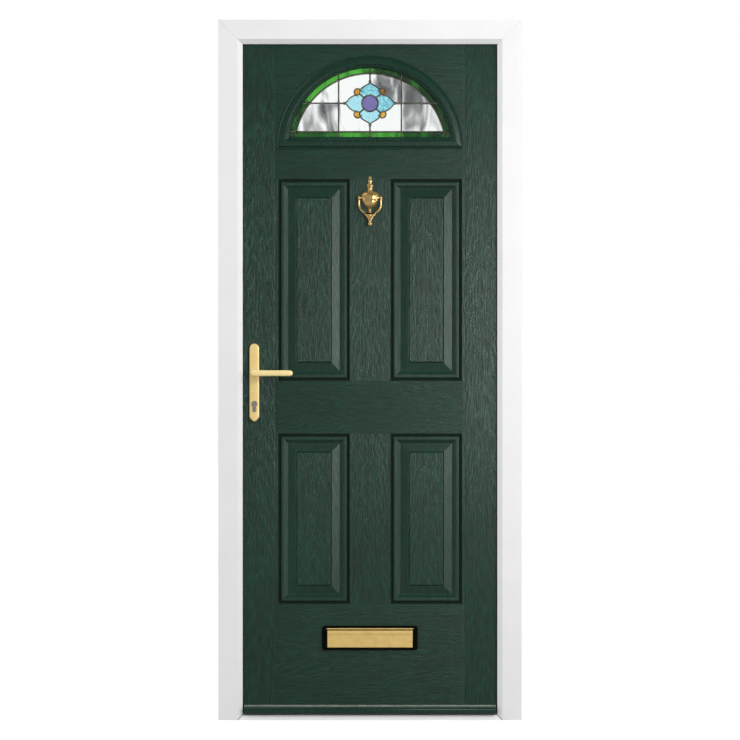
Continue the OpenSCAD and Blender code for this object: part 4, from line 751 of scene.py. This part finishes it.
def leads():
    """Every lead as an oval section along its line, with a low solder dome where lines meet."""
    oval = came_section(5.0, 6.0)
    thin = came_section(4.2, 5.6)

    def line(points, section=oval, closed=False):
        """One lead along points in x and z, in the leaf's middle plane."""
        points = np.asarray(points, float)
        return sweep(np.stack([points[:, 0], np.full(len(points), MID_Y), points[:, 1]], 1), section, closed)

    def straight(x0, z0, x1, z1):
        """One straight lead."""
        return line(np.linspace((x0, z0), (x1, z1), 12))

    rim, border = ARCH_R - RIM_IN, ARCH_R - BORDER_IN
    foot, low_z = ARCH_Z + RIM_IN, ARCH_Z + BORDER_IN
    top = ARCH_Z + sqrt(rim ** 2 - UPRIGHT_X ** 2)
    side = sqrt(rim ** 2 - FLOWER_UP ** 2)
    low = sqrt(rim ** 2 - BORDER_IN ** 2)
    parts = []
    for inset in (RIM_IN, BORDER_IN):
        x, z = half_moon_loops([inset], 90, 40)
        parts.append(line(np.stack([x[0], z[0]], 1), closed=True))
    for x in (-UPRIGHT_X, UPRIGHT_X):
        parts.append(straight(x, foot, x, top))
    parts += [straight(0, foot, 0, FLOWER_Z - TIP_Z), straight(0, FLOWER_Z + TIP_Z, 0, ARCH_Z + rim)]
    parts += [straight(-side, FLOWER_Z, -TIP_X, FLOWER_Z), straight(TIP_X, FLOWER_Z, side, FLOWER_Z)]
    for way in (-1, 1):
        parts.append(straight(way * END_X, low_z, way * low, low_z))
        parts.append(straight(way * STUB_X, foot, way * STUB_X, low_z))
    parts.append(line(arc(0, FLOWER_Z, BOSS_R, 0, 360, 49)[:-1], oval, True))
    parts += [line(petal_line(TIP_Z, PETAL_UP_W, a), thin) for a in (0, 180)]
    parts += [line(petal_line(TIP_X, PETAL_SIDE_W, a), thin) for a in (90, 270)]
    for sx in (-1, 1):
        for sz in (-1, 1):
            mid = 90 - sx * 45 if sz > 0 else 270 + sx * 45
            parts.append(line(arc(sx * AMBER_X, FLOWER_Z + sz * AMBER_Z, AMBER_R, mid - 128, mid + 128, 26), thin))
    crossings = (low_z, FLOWER_Z, ARCH_Z + sqrt(border ** 2 - UPRIGHT_X ** 2), top - 1.5, foot + 1.5)
    joints = [(sx * UPRIGHT_X, z) for sx in (-1, 1) for z in crossings]
    joints += [(0, low_z), (0, FLOWER_Z - TIP_Z), (0, FLOWER_Z + TIP_Z), (0, ARCH_Z + border)]
    beside = ((TIP_X, FLOWER_Z), (sqrt(border ** 2 - FLOWER_UP ** 2), FLOWER_Z), (side - 1.5, FLOWER_Z),
              (END_X + 1, low_z), (low - 1.5, low_z))
    joints += [(sx * x, z) for sx in (-1, 1) for x, z in beside]
    dome = [(0, -3.7), (2.2, -3.5), (3.9, -2.7), (4.6, -1.2), (4.7, 0), (4.6, 1.2), (3.9, 2.7), (2.2, 3.5), (0, 3.7)]
    parts += [turned(dome, (x, MID_Y, z), "y", steps=14) for x, z in joints]
    return joined(*parts)


mesh_piece("leaded_light_cames", *leads(), "lead", "leaf", "lead", "lead_came", 60)


# Handles

def plate_outline():
    """The backplate's outline: round at the head, drawn in to a small round at the foot."""
    x, r = SPINDLE_X, 14.4
    head = arc(x, 1114.6, r, 0, 180, 24)
    left = np.stack([np.full(24, x - r), np.linspace(1113, 916, 24)], 1)
    toe = cut_corners([(x - r, 915.0), (x - r, 909.0), (x - 11.0, 902.4), (x - 4.4, 896.6), (x, 894.6),
                       (x + 4.4, 896.6), (x + 11.0, 902.4), (x + r, 909.0), (x + r, 915.0)], 2)
    right = np.stack([np.full(24, x + r), np.linspace(916, 1113, 24)], 1)
    return np.vstack([head, left, toe, right])


def cylinder_outline():
    """The lock cylinder's outline with a little play: a round above and a narrower round-ended tail below."""
    r, tail, drop = 8.8, 5.3, 19.5
    meet = np.degrees(asin(tail / r))
    return np.vstack([arc(SPINDLE_X, CYLINDER_Z, r, meet - 90, 270 - meet, 40),
                      arc(SPINDLE_X, CYLINDER_Z - drop, tail, 180, 360, 16)])


def handle_lever():
    """The lever: a bar of soft oval section with quarter-round ends, and a neck to the plate."""
    y, root_r, end_r, taper, half_thick, flat = -56.0, 10.0, 8.8, 40.0, 6.0, 0.75
    x0, x1 = SPINDLE_X - root_r, -231.0
    rows, cols = 46, 32
    x = x0 + (x1 - x0) * (0.5 - 0.5 * np.cos(pi * np.linspace(0, 1, rows)))
    near, far = x - x0, x1 - x
    cap_a = np.sqrt(np.clip(1 - (1 - np.clip(near / root_r, 0, 1)) ** 2, 0, 1))
    cap_b = np.sqrt(np.clip(1 - (1 - np.clip(far / end_r, 0, 1)) ** 2, 0, 1))
    half = (root_r + (end_r - root_r) * np.clip(near / taper, 0, 1)) * cap_a * cap_b
    thick = half_thick * np.sqrt(cap_a * cap_b)
    a = np.linspace(0, 2 * pi, cols, endpoint=False)
    cz = np.sign(np.cos(a)) * np.abs(np.cos(a)) ** flat
    cy = np.sign(np.sin(a)) * np.abs(np.sin(a)) ** flat
    points = np.stack(np.broadcast_arrays(x[:, None], y + thick[:, None] * cy, SPINDLE_Z + half[:, None] * cz), -1)
    bar = points.reshape(-1, 3), capped(rows, cols)
    neck = turned([(6.8, -53.0), (6.8, -36.0), (7.0, -16.2)], (SPINDLE_X, 0, SPINDLE_Z), "y", steps=40)
    return joined(bar, neck)


PLATE = rounded_plate(plate_outline(), OUT_Y, -25.0, 3.2, 7, cylinder_outline())
LEVER = handle_lever()
for side, place in (("outer", lambda part: part), ("inner", indoors)):
    mesh_piece("handle_plate_" + side, *place(PLATE), "gold", "leaf", "gold", side + "_backplate", 40)
    mesh_piece("handle_lever_" + side, *place(LEVER), "gold_lever", "lever_set", "gold", side + "_lever", 50)


# Letterplate

def rounded_box_outline(w, h, r, count=8):
    """A rectangle in x and z about the letter slot with rounded corners, anticlockwise from the lower right."""
    corners = [(w / 2 - r, -h / 2 + r, -90), (w / 2 - r, h / 2 - r, 0), (-w / 2 + r, h / 2 - r, 90),
               (-w / 2 + r, -h / 2 + r, 180)]
    return np.vstack([arc(x, LETTER_Z + z, r, a, a + 90, count) for x, z, a in corners])


def letter_surround():
    """The surround: rings from the back of the window round its front edge to the back outside."""
    rings = [(246, 36, 1.5, -15.0), (246, 36, 1.5, -17.0), (261, 60, 1.5, -17.0), (261, 60, 1.5, -21.8),
             (261.8, 60.8, 1.9, -22.7), (263.4, 62.4, 2.5, -23.0), (281.6, 67.6, 5.6, -23.0),
             (284.2, 70.4, 6.6, -22.4), (285.6, 71.6, 7.0, -21.2), (286, 72, 7.0, -19.6), (286, 72, 7.0, -15.0)]
    rows = []
    for w, h, r, y in rings:
        o = rounded_box_outline(w, h, r)
        rows.append(np.stack([o[:, 0], np.full(len(o), y), o[:, 1]], 1))
    points = np.stack(rows)
    n, m = points.shape[:2]
    return points.reshape(-1, 3), quads(n, m, True, True)


# Floor of the slot under the flap's roll, from the leaf's middle plane
SLOT_FLOOR = MID_Y + 19.9


def letter_flap():
    """The flap: a section with a crowned upper part and a flat field, with its roll and pins along the top."""
    front = [(-20.2, 267.6), (-21.6, 267.5), (-22.6, 266.8), (-22.8, 265.0), (-22.8, 259.0), (-22.4, 256.6),
             (-21.7, 255.4), (-21.7, 219.6), (-21.5, 217.6), (-20.6, 216.7)]
    back = [(-19.4, 216.7), (-18.9, 217.4), (-18.9, 274.0), (-19.9, 274.0), (-19.9, 268.2)]
    ring = np.vstack([cut_corners(np.array(front), 2), np.array(back)])
    axis_y, axis_z, middle_y = -20.8, 273.2, -20.4
    roll = arc(axis_y, axis_z, 2.2, 0, 360, 21)[:-1]
    pin = arc(axis_y, axis_z, 1.0, 0, 360, 13)[:-1]
    parts = []
    for section, half, ease in ((ring, 128.0, 0.8), (roll, 128.0, 0.5), (pin, 133.5, 0.3)):
        x = np.concatenate([[-half, -half + ease], np.linspace(-half + 4, half - 4, 20), [half - ease, half]])
        end = np.abs(x) > half - ease / 2
        if section is ring:
            push = np.where(section[:, 0] < middle_y, ease, 0.0)
        else:
            push = ease * np.sign(axis_y - section[:, 0])
        y = section[:, 0] + end[:, None] * push
        points = np.stack(np.broadcast_arrays(x[:, None], y, section[:, 1]), -1)
        n, m = points.shape[:2]
        parts.append((points.reshape(-1, 3), capped(n, m)))
    return joined(*parts)


SURROUND, FLAP = letter_surround(), letter_flap()
mesh_piece("letterplate_surround", *SURROUND, "black_metal", "leaf", "black_metal", "letterplate_frame", 40)
mesh_piece("letterplate_room_frame", *indoors(SURROUND), "gold_flap", "leaf", "gold", "letterplate_inner_frame", 40)
for side, part, body in (("outer", FLAP, "post_flap"), ("inner", indoors(FLAP), "room_flap")):
    flap = mesh_piece("letter_flap_" + side, *part, "gold_flap", body, "gold", side + "_flap", 40)
    # Painted shade: the slot floor under the flap's roll is marked, and the finish darkens it
    depth = np.abs(np.array([v.co.y for v in flap.data.vertices]) / MM - MID_Y)
    mark(flap, "groove", "POINT", np.abs(depth - SLOT_FLOOR) < 0.05)


# Knocker

# Urn's oval: its power, and its depth as a share of its half width
URN_FLAT, URN_DEPTH = 0.78, 0.80
# Clapper's arms: distance from the middle and radius
ARM_X, ARM_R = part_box("knocker_clapper")[1].x / MM - 3.6, 2.8


def knocker_body():
    """The urn: its profile carried half round against the leaf on a flattened oval, and the pivot pin across it."""
    profile = np.vstack([
        arc(0, 61.6, 4.4, 90, 0, 10), bezier([(4.9, 60.0), (4.9, 57.0), (2.6, 58.0), (3.2, 55.6)], 8),
        bezier([(3.4, 55.4), (7.4, 54.6), (6.6, 47), (4.4, 43.0)], 12), [(4.6, 42.0), (6.2, 41.4)],
        bezier([(7.0, 41.2), (10.8, 40.4), (10.9, 33.6), (8.0, 32.4)], 14),
        bezier([(7.4, 32.0), (8.8, 28), (6.6, 26.5), (6.9, 23)], 10),
        bezier([(6.9, 23), (9.5, 18.8), (24.5, 20.2), (27.8, 8.0)], 22)[1:],
        [(28.3, 7.2), (28.4, 6.2), (27.8, 5.2), (27.0, 4.6), (26.8, 3.0), (26.3, -6.8), (26.6, -7.8), (26.4, -8.8),
         (25.6, -9.4), (22.8, -9.8)],
        bezier([(22.8, -10.2), (22.6, -19), (14, -26), (8, -30)], 18),
        bezier([(8, -30), (5.4, -32.4), (4.4, -34.5), (4.2, -38.6)], 8)[1:], [(4.8, -39.4), (5.4, -40.4)],
        arc(0, -43.2, 5.4, 30, -90, 12)])
    a = np.radians(np.linspace(0, 180, 57))
    wide = np.sign(np.cos(a)) * np.abs(np.cos(a)) ** URN_FLAT
    deep = -URN_DEPTH * np.abs(np.sin(a)) ** URN_FLAT
    r, h = profile[:, :1], profile[:, 1:] + 0 * a
    points = np.stack([r * wide, OUT_Y + r * deep, KNOCKER_Z + h], -1)
    urn = points.reshape(-1, 3), quads(len(profile), len(a), close_cols=True)
    end = ARM_X + 4.0
    pin = turned([(0, -end), (2.0, -end), (2.6, 0.8 - end), (2.6, end - 0.8), (2.0, end), (0, end)],
                 (0, KNOCKER_Y, KNOCKER_Z), "x", steps=24)
    return joined(urn, pin)


def tube(path, radius, count=20):
    """A round rod along a path in the plane of the clapper, with a radius for each of its points."""
    t = np.gradient(path, axis=0)
    t /= np.linalg.norm(t, axis=1)[:, None]
    out = np.array([0.0, -1.0, 0.0])
    side = np.cross(t, out)
    a = np.linspace(0, 2 * pi, count, endpoint=False)
    points = path[:, None] + radius[:, None, None] * (np.cos(a)[None, :, None] * side[:, None]
                                                      + np.sin(a)[None, :, None] * out)
    return points.reshape(-1, 3), capped(len(path), count)


def knocker_swing():
    """The clapper: eyes on the pin, two bowed arms, the spade they run into with its bead, and the ball."""
    parts = []
    for way in (-1, 1):
        eye = turned([(2.75, -3.4), (5.4, -3.4), (5.9, -2.6), (5.9, 2.6), (5.4, 3.4), (2.75, 3.4)],
                     (way * ARM_X, KNOCKER_Y, KNOCKER_Z), "x", steps=28)
        eye[1][:] = quads(6, 28, True, True)
        line = np.vstack([np.array([(ARM_X, -4.6), (ARM_X, -12.0)]),
                          bezier([(ARM_X, -20), (ARM_X, -36), (ARM_X - 12, -43), (9.0, -50.5)], 26)])
        path = np.stack([way * line[:, 0], np.full(len(line), KNOCKER_Y), KNOCKER_Z + line[:, 1]], 1)
        parts += [eye, tube(path, np.linspace(ARM_R, ARM_R + 0.2, len(line)))]
    spade = np.vstack([bezier([(-20, -44.2), (-12, -47), (-7, -48), (0, -48.6)], 12),
                       bezier([(0, -48.6), (7, -48), (12, -47), (20, -44.2)], 12)[1:],
                       bezier([(20, -44.2), (15, -55), (5.5, -60), (4.0, -71)], 14)[1:],
                       bezier([(-4.0, -71), (-5.5, -60), (-15, -55), (-20, -44.2)], 14)[:-1]])
    spade = spade[::-1] + [0, KNOCKER_Z]
    front = rounded_plate(spade, KNOCKER_Y + 3.4, KNOCKER_Y - 3.6, 1.4, 5)
    ball = turned(np.vstack([[(0, -66), (3.6, -66), (3.6, -70.6), (4.4, -71.2), (4.4, -72.0)],
                             arc(0, -77.6, 6.5, 50, -90, 20)]), (0, KNOCKER_Y, KNOCKER_Z), "z", steps=32)
    bead = turned(arc(0, 0, 4.4, -90, 90, 16) * [1, 0.7], (0, KNOCKER_Y - 3.2, KNOCKER_Z - 52.0), "y", steps=24)
    return joined(*parts, front, ball, bead)


def knocker_button():
    """The strike button behind the ball: a turned stem with a small foot and a crowned face."""
    reach = 6.6
    profile = [(0, 0), (6.4, 0), (6.5, -1.2), (5.4, -2.2), (5.2, 1.2 - reach), (4.6, 0.3 - reach), (3.0, -reach),
               (0, -reach)]
    return turned(profile, (0, OUT_Y, KNOCKER_Z - 78.0), "y", steps=36)


mesh_piece("knocker_strike_button", *knocker_button(), "polished_gold", "leaf", "gold", "knocker_strike", 40)
mesh_piece("knocker_urn_body", *knocker_body(), "polished_gold", "leaf", "gold", "knocker_urn", 40)
mesh_piece("knocker_swing", *knocker_swing(), "polished_gold", "clapper", "gold", "knocker_clapper", 50)


# Pieces of the source that keep their form: a finish, the nodes it is on, and the width of their eased edges
KEPT = {
    "white_profile": (("lock_jamb", "hinge_jamb", "frame_head", "threshold"), 1.2),
    "white_moulding": (("inner_cassette",), 0),
    "dusty_trim": (("weather_bar",), 0.8),
    "galvanised": (("frame_reinforcement",), 0),
    "zinc_steel": (("centre_keep", "hook_keeps", "lock_faceplate", "lock_gearbox", "hook_cases", "latch_bolt",
                    "dead_bolt", "upper_hook", "lower_hook", "drive_rods", "spindle"), 0.4),
    "nickel": (("cylinder_body", "hinge_pins", "frame_screws", "cassette_screws", "leaf_screws"), 0),
    "white_metal": (("hinge_frame_leaves", "hinge_door_leaves"), 0.5),
    "black_rubber": (("frame_seal",), 0.3),
    "grey_rubber": (("threshold_seal",), 0.5),
    "foam": (("foam_core",), 0),
    "timber": (("lock_stile", "hinge_stile", "top_rail", "bottom_rail"), 0),
    "clear_glass": (("outer_pane", "inner_pane"), 0),
    "green_glass": (("green_border_glass",), 0),
    "textured_glass": (("textured_glass",), 0),
    "blue_glass": (("blue_petal_glass",), 0),
    "violet_glass": (("violet_boss_glass",), 0),
    "amber_glass": (("amber_glass",), 0),
    "polished_gold": (("through_bolts",), 0.3),
    "black_plastic": (("glazing_spacer", "letterplate_sleeve"), 0),
    "plug_brass": (("lock_follower", "outer_plug", "inner_plug"), 0.3),
}


def eased(obj, width):
    """Merge a source piece's triangles for shading and, where asked, ease its sharp edges by a bevel."""
    weld = obj.modifiers.new("merge", "WELD")
    weld.merge_threshold = 1e-6
    if width:
        flat = obj.modifiers.new("plain_faces", "DECIMATE")
        flat.decimate_type = "DISSOLVE"
        flat.angle_limit = radians(0.5)
        bevel = obj.modifiers.new("eased_edges", "BEVEL")
        bevel.width = width * MM
        bevel.segments = 2
        bevel.limit_method = "ANGLE"
        bevel.angle_limit = radians(35)
        bevel.harden_normals = True


for finish, (names, width) in KEPT.items():
    for name in names:
        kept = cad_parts[name]
        kept.data.materials.clear()
        kept.data.materials.append(FINISHES[finish])
        eased(kept, width)


# Camera, floor, world and lamps

camera = bpy.data.objects.new("camera", bpy.data.cameras.new("camera"))
camera.data.lens = 200
camera.data.sensor_width = 36
camera.location = (0, -12.355, 1.0497)
camera.rotation_euler = (pi / 2, 0, 0)
camera.data.clip_end = 100
bpy.context.scene.collection.objects.link(camera)
bpy.context.scene.camera = camera

floor_mesh = bpy.data.meshes.new("studio_floor")
floor_mesh.from_pydata([(-30, -30, 0), (30, -30, 0), (30, 30, 0), (-30, 30, 0)], [], [(0, 1, 2, 3)])
floor = bpy.data.objects.new("studio_floor", floor_mesh)
bpy.context.scene.collection.objects.link(floor)
floor_mat = bpy.data.materials.new("studio_floor")
floor_mat.use_nodes = True
tree = floor_mat.node_tree
tree.nodes.clear()
# White with a shadow where it is seen, plain grey where it lights the door
path = node(tree, "ShaderNodeLightPath").outputs
seen = maths(tree, "MAXIMUM", path["Is Camera Ray"], path["Is Transmission Ray"])
plain = node(tree, "ShaderNodeBsdfDiffuse", {}, Color=(0.32, 0.32, 0.32, 1)).outputs[0]
shadowed = node(tree, "ShaderNodeBsdfDiffuse", {}, Color=(0.30, 0.30, 0.30, 1)).outputs[0]
glow = node(tree, "ShaderNodeEmission", {}, Color=(0.80, 0.80, 0.80, 1)).outputs[0]
lit = node(tree, "ShaderNodeAddShader", {}, i0=shadowed, i1=glow).outputs[0]
mixed = node(tree, "ShaderNodeMixShader", {}, i0=seen, i1=plain, i2=lit).outputs[0]
tree.links.new(mixed, node(tree, "ShaderNodeOutputMaterial").inputs[0])
floor_mesh.materials.append(floor_mat)

# Light of the surroundings on matt faces, and what shiny faces see in front of the door
AMBIENT, FRONT_GLOW = 1.12, 0.18
world = bpy.data.worlds.new("studio")
bpy.context.scene.world = world
world.use_nodes = True
tree = world.node_tree
back = tree.nodes["Background"]
back.inputs["Color"].default_value = (1, 1, 1, 1)
path = node(tree, "ShaderNodeLightPath").outputs
way = split(tree, node(tree, "ShaderNodeTexCoord").outputs["Generated"])
white = maths(tree, "MAXIMUM", path["Is Camera Ray"], path["Is Transmission Ray"])
# For shiny faces: a pale patch high on the left, a dim front, a bright right side, a fainter left one, a white back
high = maths(tree, "MULTIPLY", fade(tree, way[2], 0.5, 0.75, 0.0, 7.0), fade(tree, way[0], -0.15, -0.4))
shade = maths(tree, "MAXIMUM", fade(tree, way[2], 0.12, 0.45, 1.0, 0.25), high)
left_side = fade(tree, way[0], -0.55, -0.9, 0.0, 0.7)
sides = maths(tree, "MULTIPLY_ADD", fade(tree, way[0], 0.84, 0.94), 3.6, left_side)
front_glow = maths(tree, "MULTIPLY_ADD", shade, FRONT_GLOW, sides)
shiny = maths(tree, "MAXIMUM", front_glow, fade(tree, way[1], -0.1, 0.5, 0.0, 1.0))
# For matt faces: an even light, a little stronger from the left
ambient = fade(tree, way[0], -1.0, 1.0, AMBIENT * 1.12, AMBIENT * 0.88)
level = maths(tree, "MULTIPLY_ADD", path["Is Glossy Ray"], maths(tree, "SUBTRACT", shiny, ambient), ambient)
level = maths(tree, "MULTIPLY_ADD", white, maths(tree, "SUBTRACT", 1.0, level), level)
tree.links.new(level, back.inputs["Strength"])


def softbox(name, place, width, height, power, shiny_only):
    """A rectangular lamp turned to the door's middle, for shiny faces alone or for matt faces alone."""
    lamp = bpy.data.lights.new(name, "AREA")
    lamp.shape = "RECTANGLE"
    lamp.size, lamp.size_y, lamp.energy = width, height, power
    obj = bpy.data.objects.new(name, lamp)
    obj.location = place
    obj.rotation_euler = (DOOR_MIDDLE - Vector(place)).to_track_quat("-Z", "Y").to_euler()
    obj.visible_camera = False
    obj.visible_diffuse = not shiny_only
    obj.visible_glossy = shiny_only
    obj.visible_transmission = False
    bpy.context.scene.collection.objects.link(obj)


DOOR_MIDDLE = Vector((0, 0, 1.18))
softbox("softbox_matt", (2.00, -2.60, 2.55), 1.6, 1.0, 54, False)
softbox("window_strip", (1.29, -2.95, 1.24), 0.7, 1.2, 34, True)
softbox("window_wide", (2.15, -2.25, 1.22), 1.3, 1.1, 16, True)

bpy.context.scene.view_settings.view_transform = "Standard"
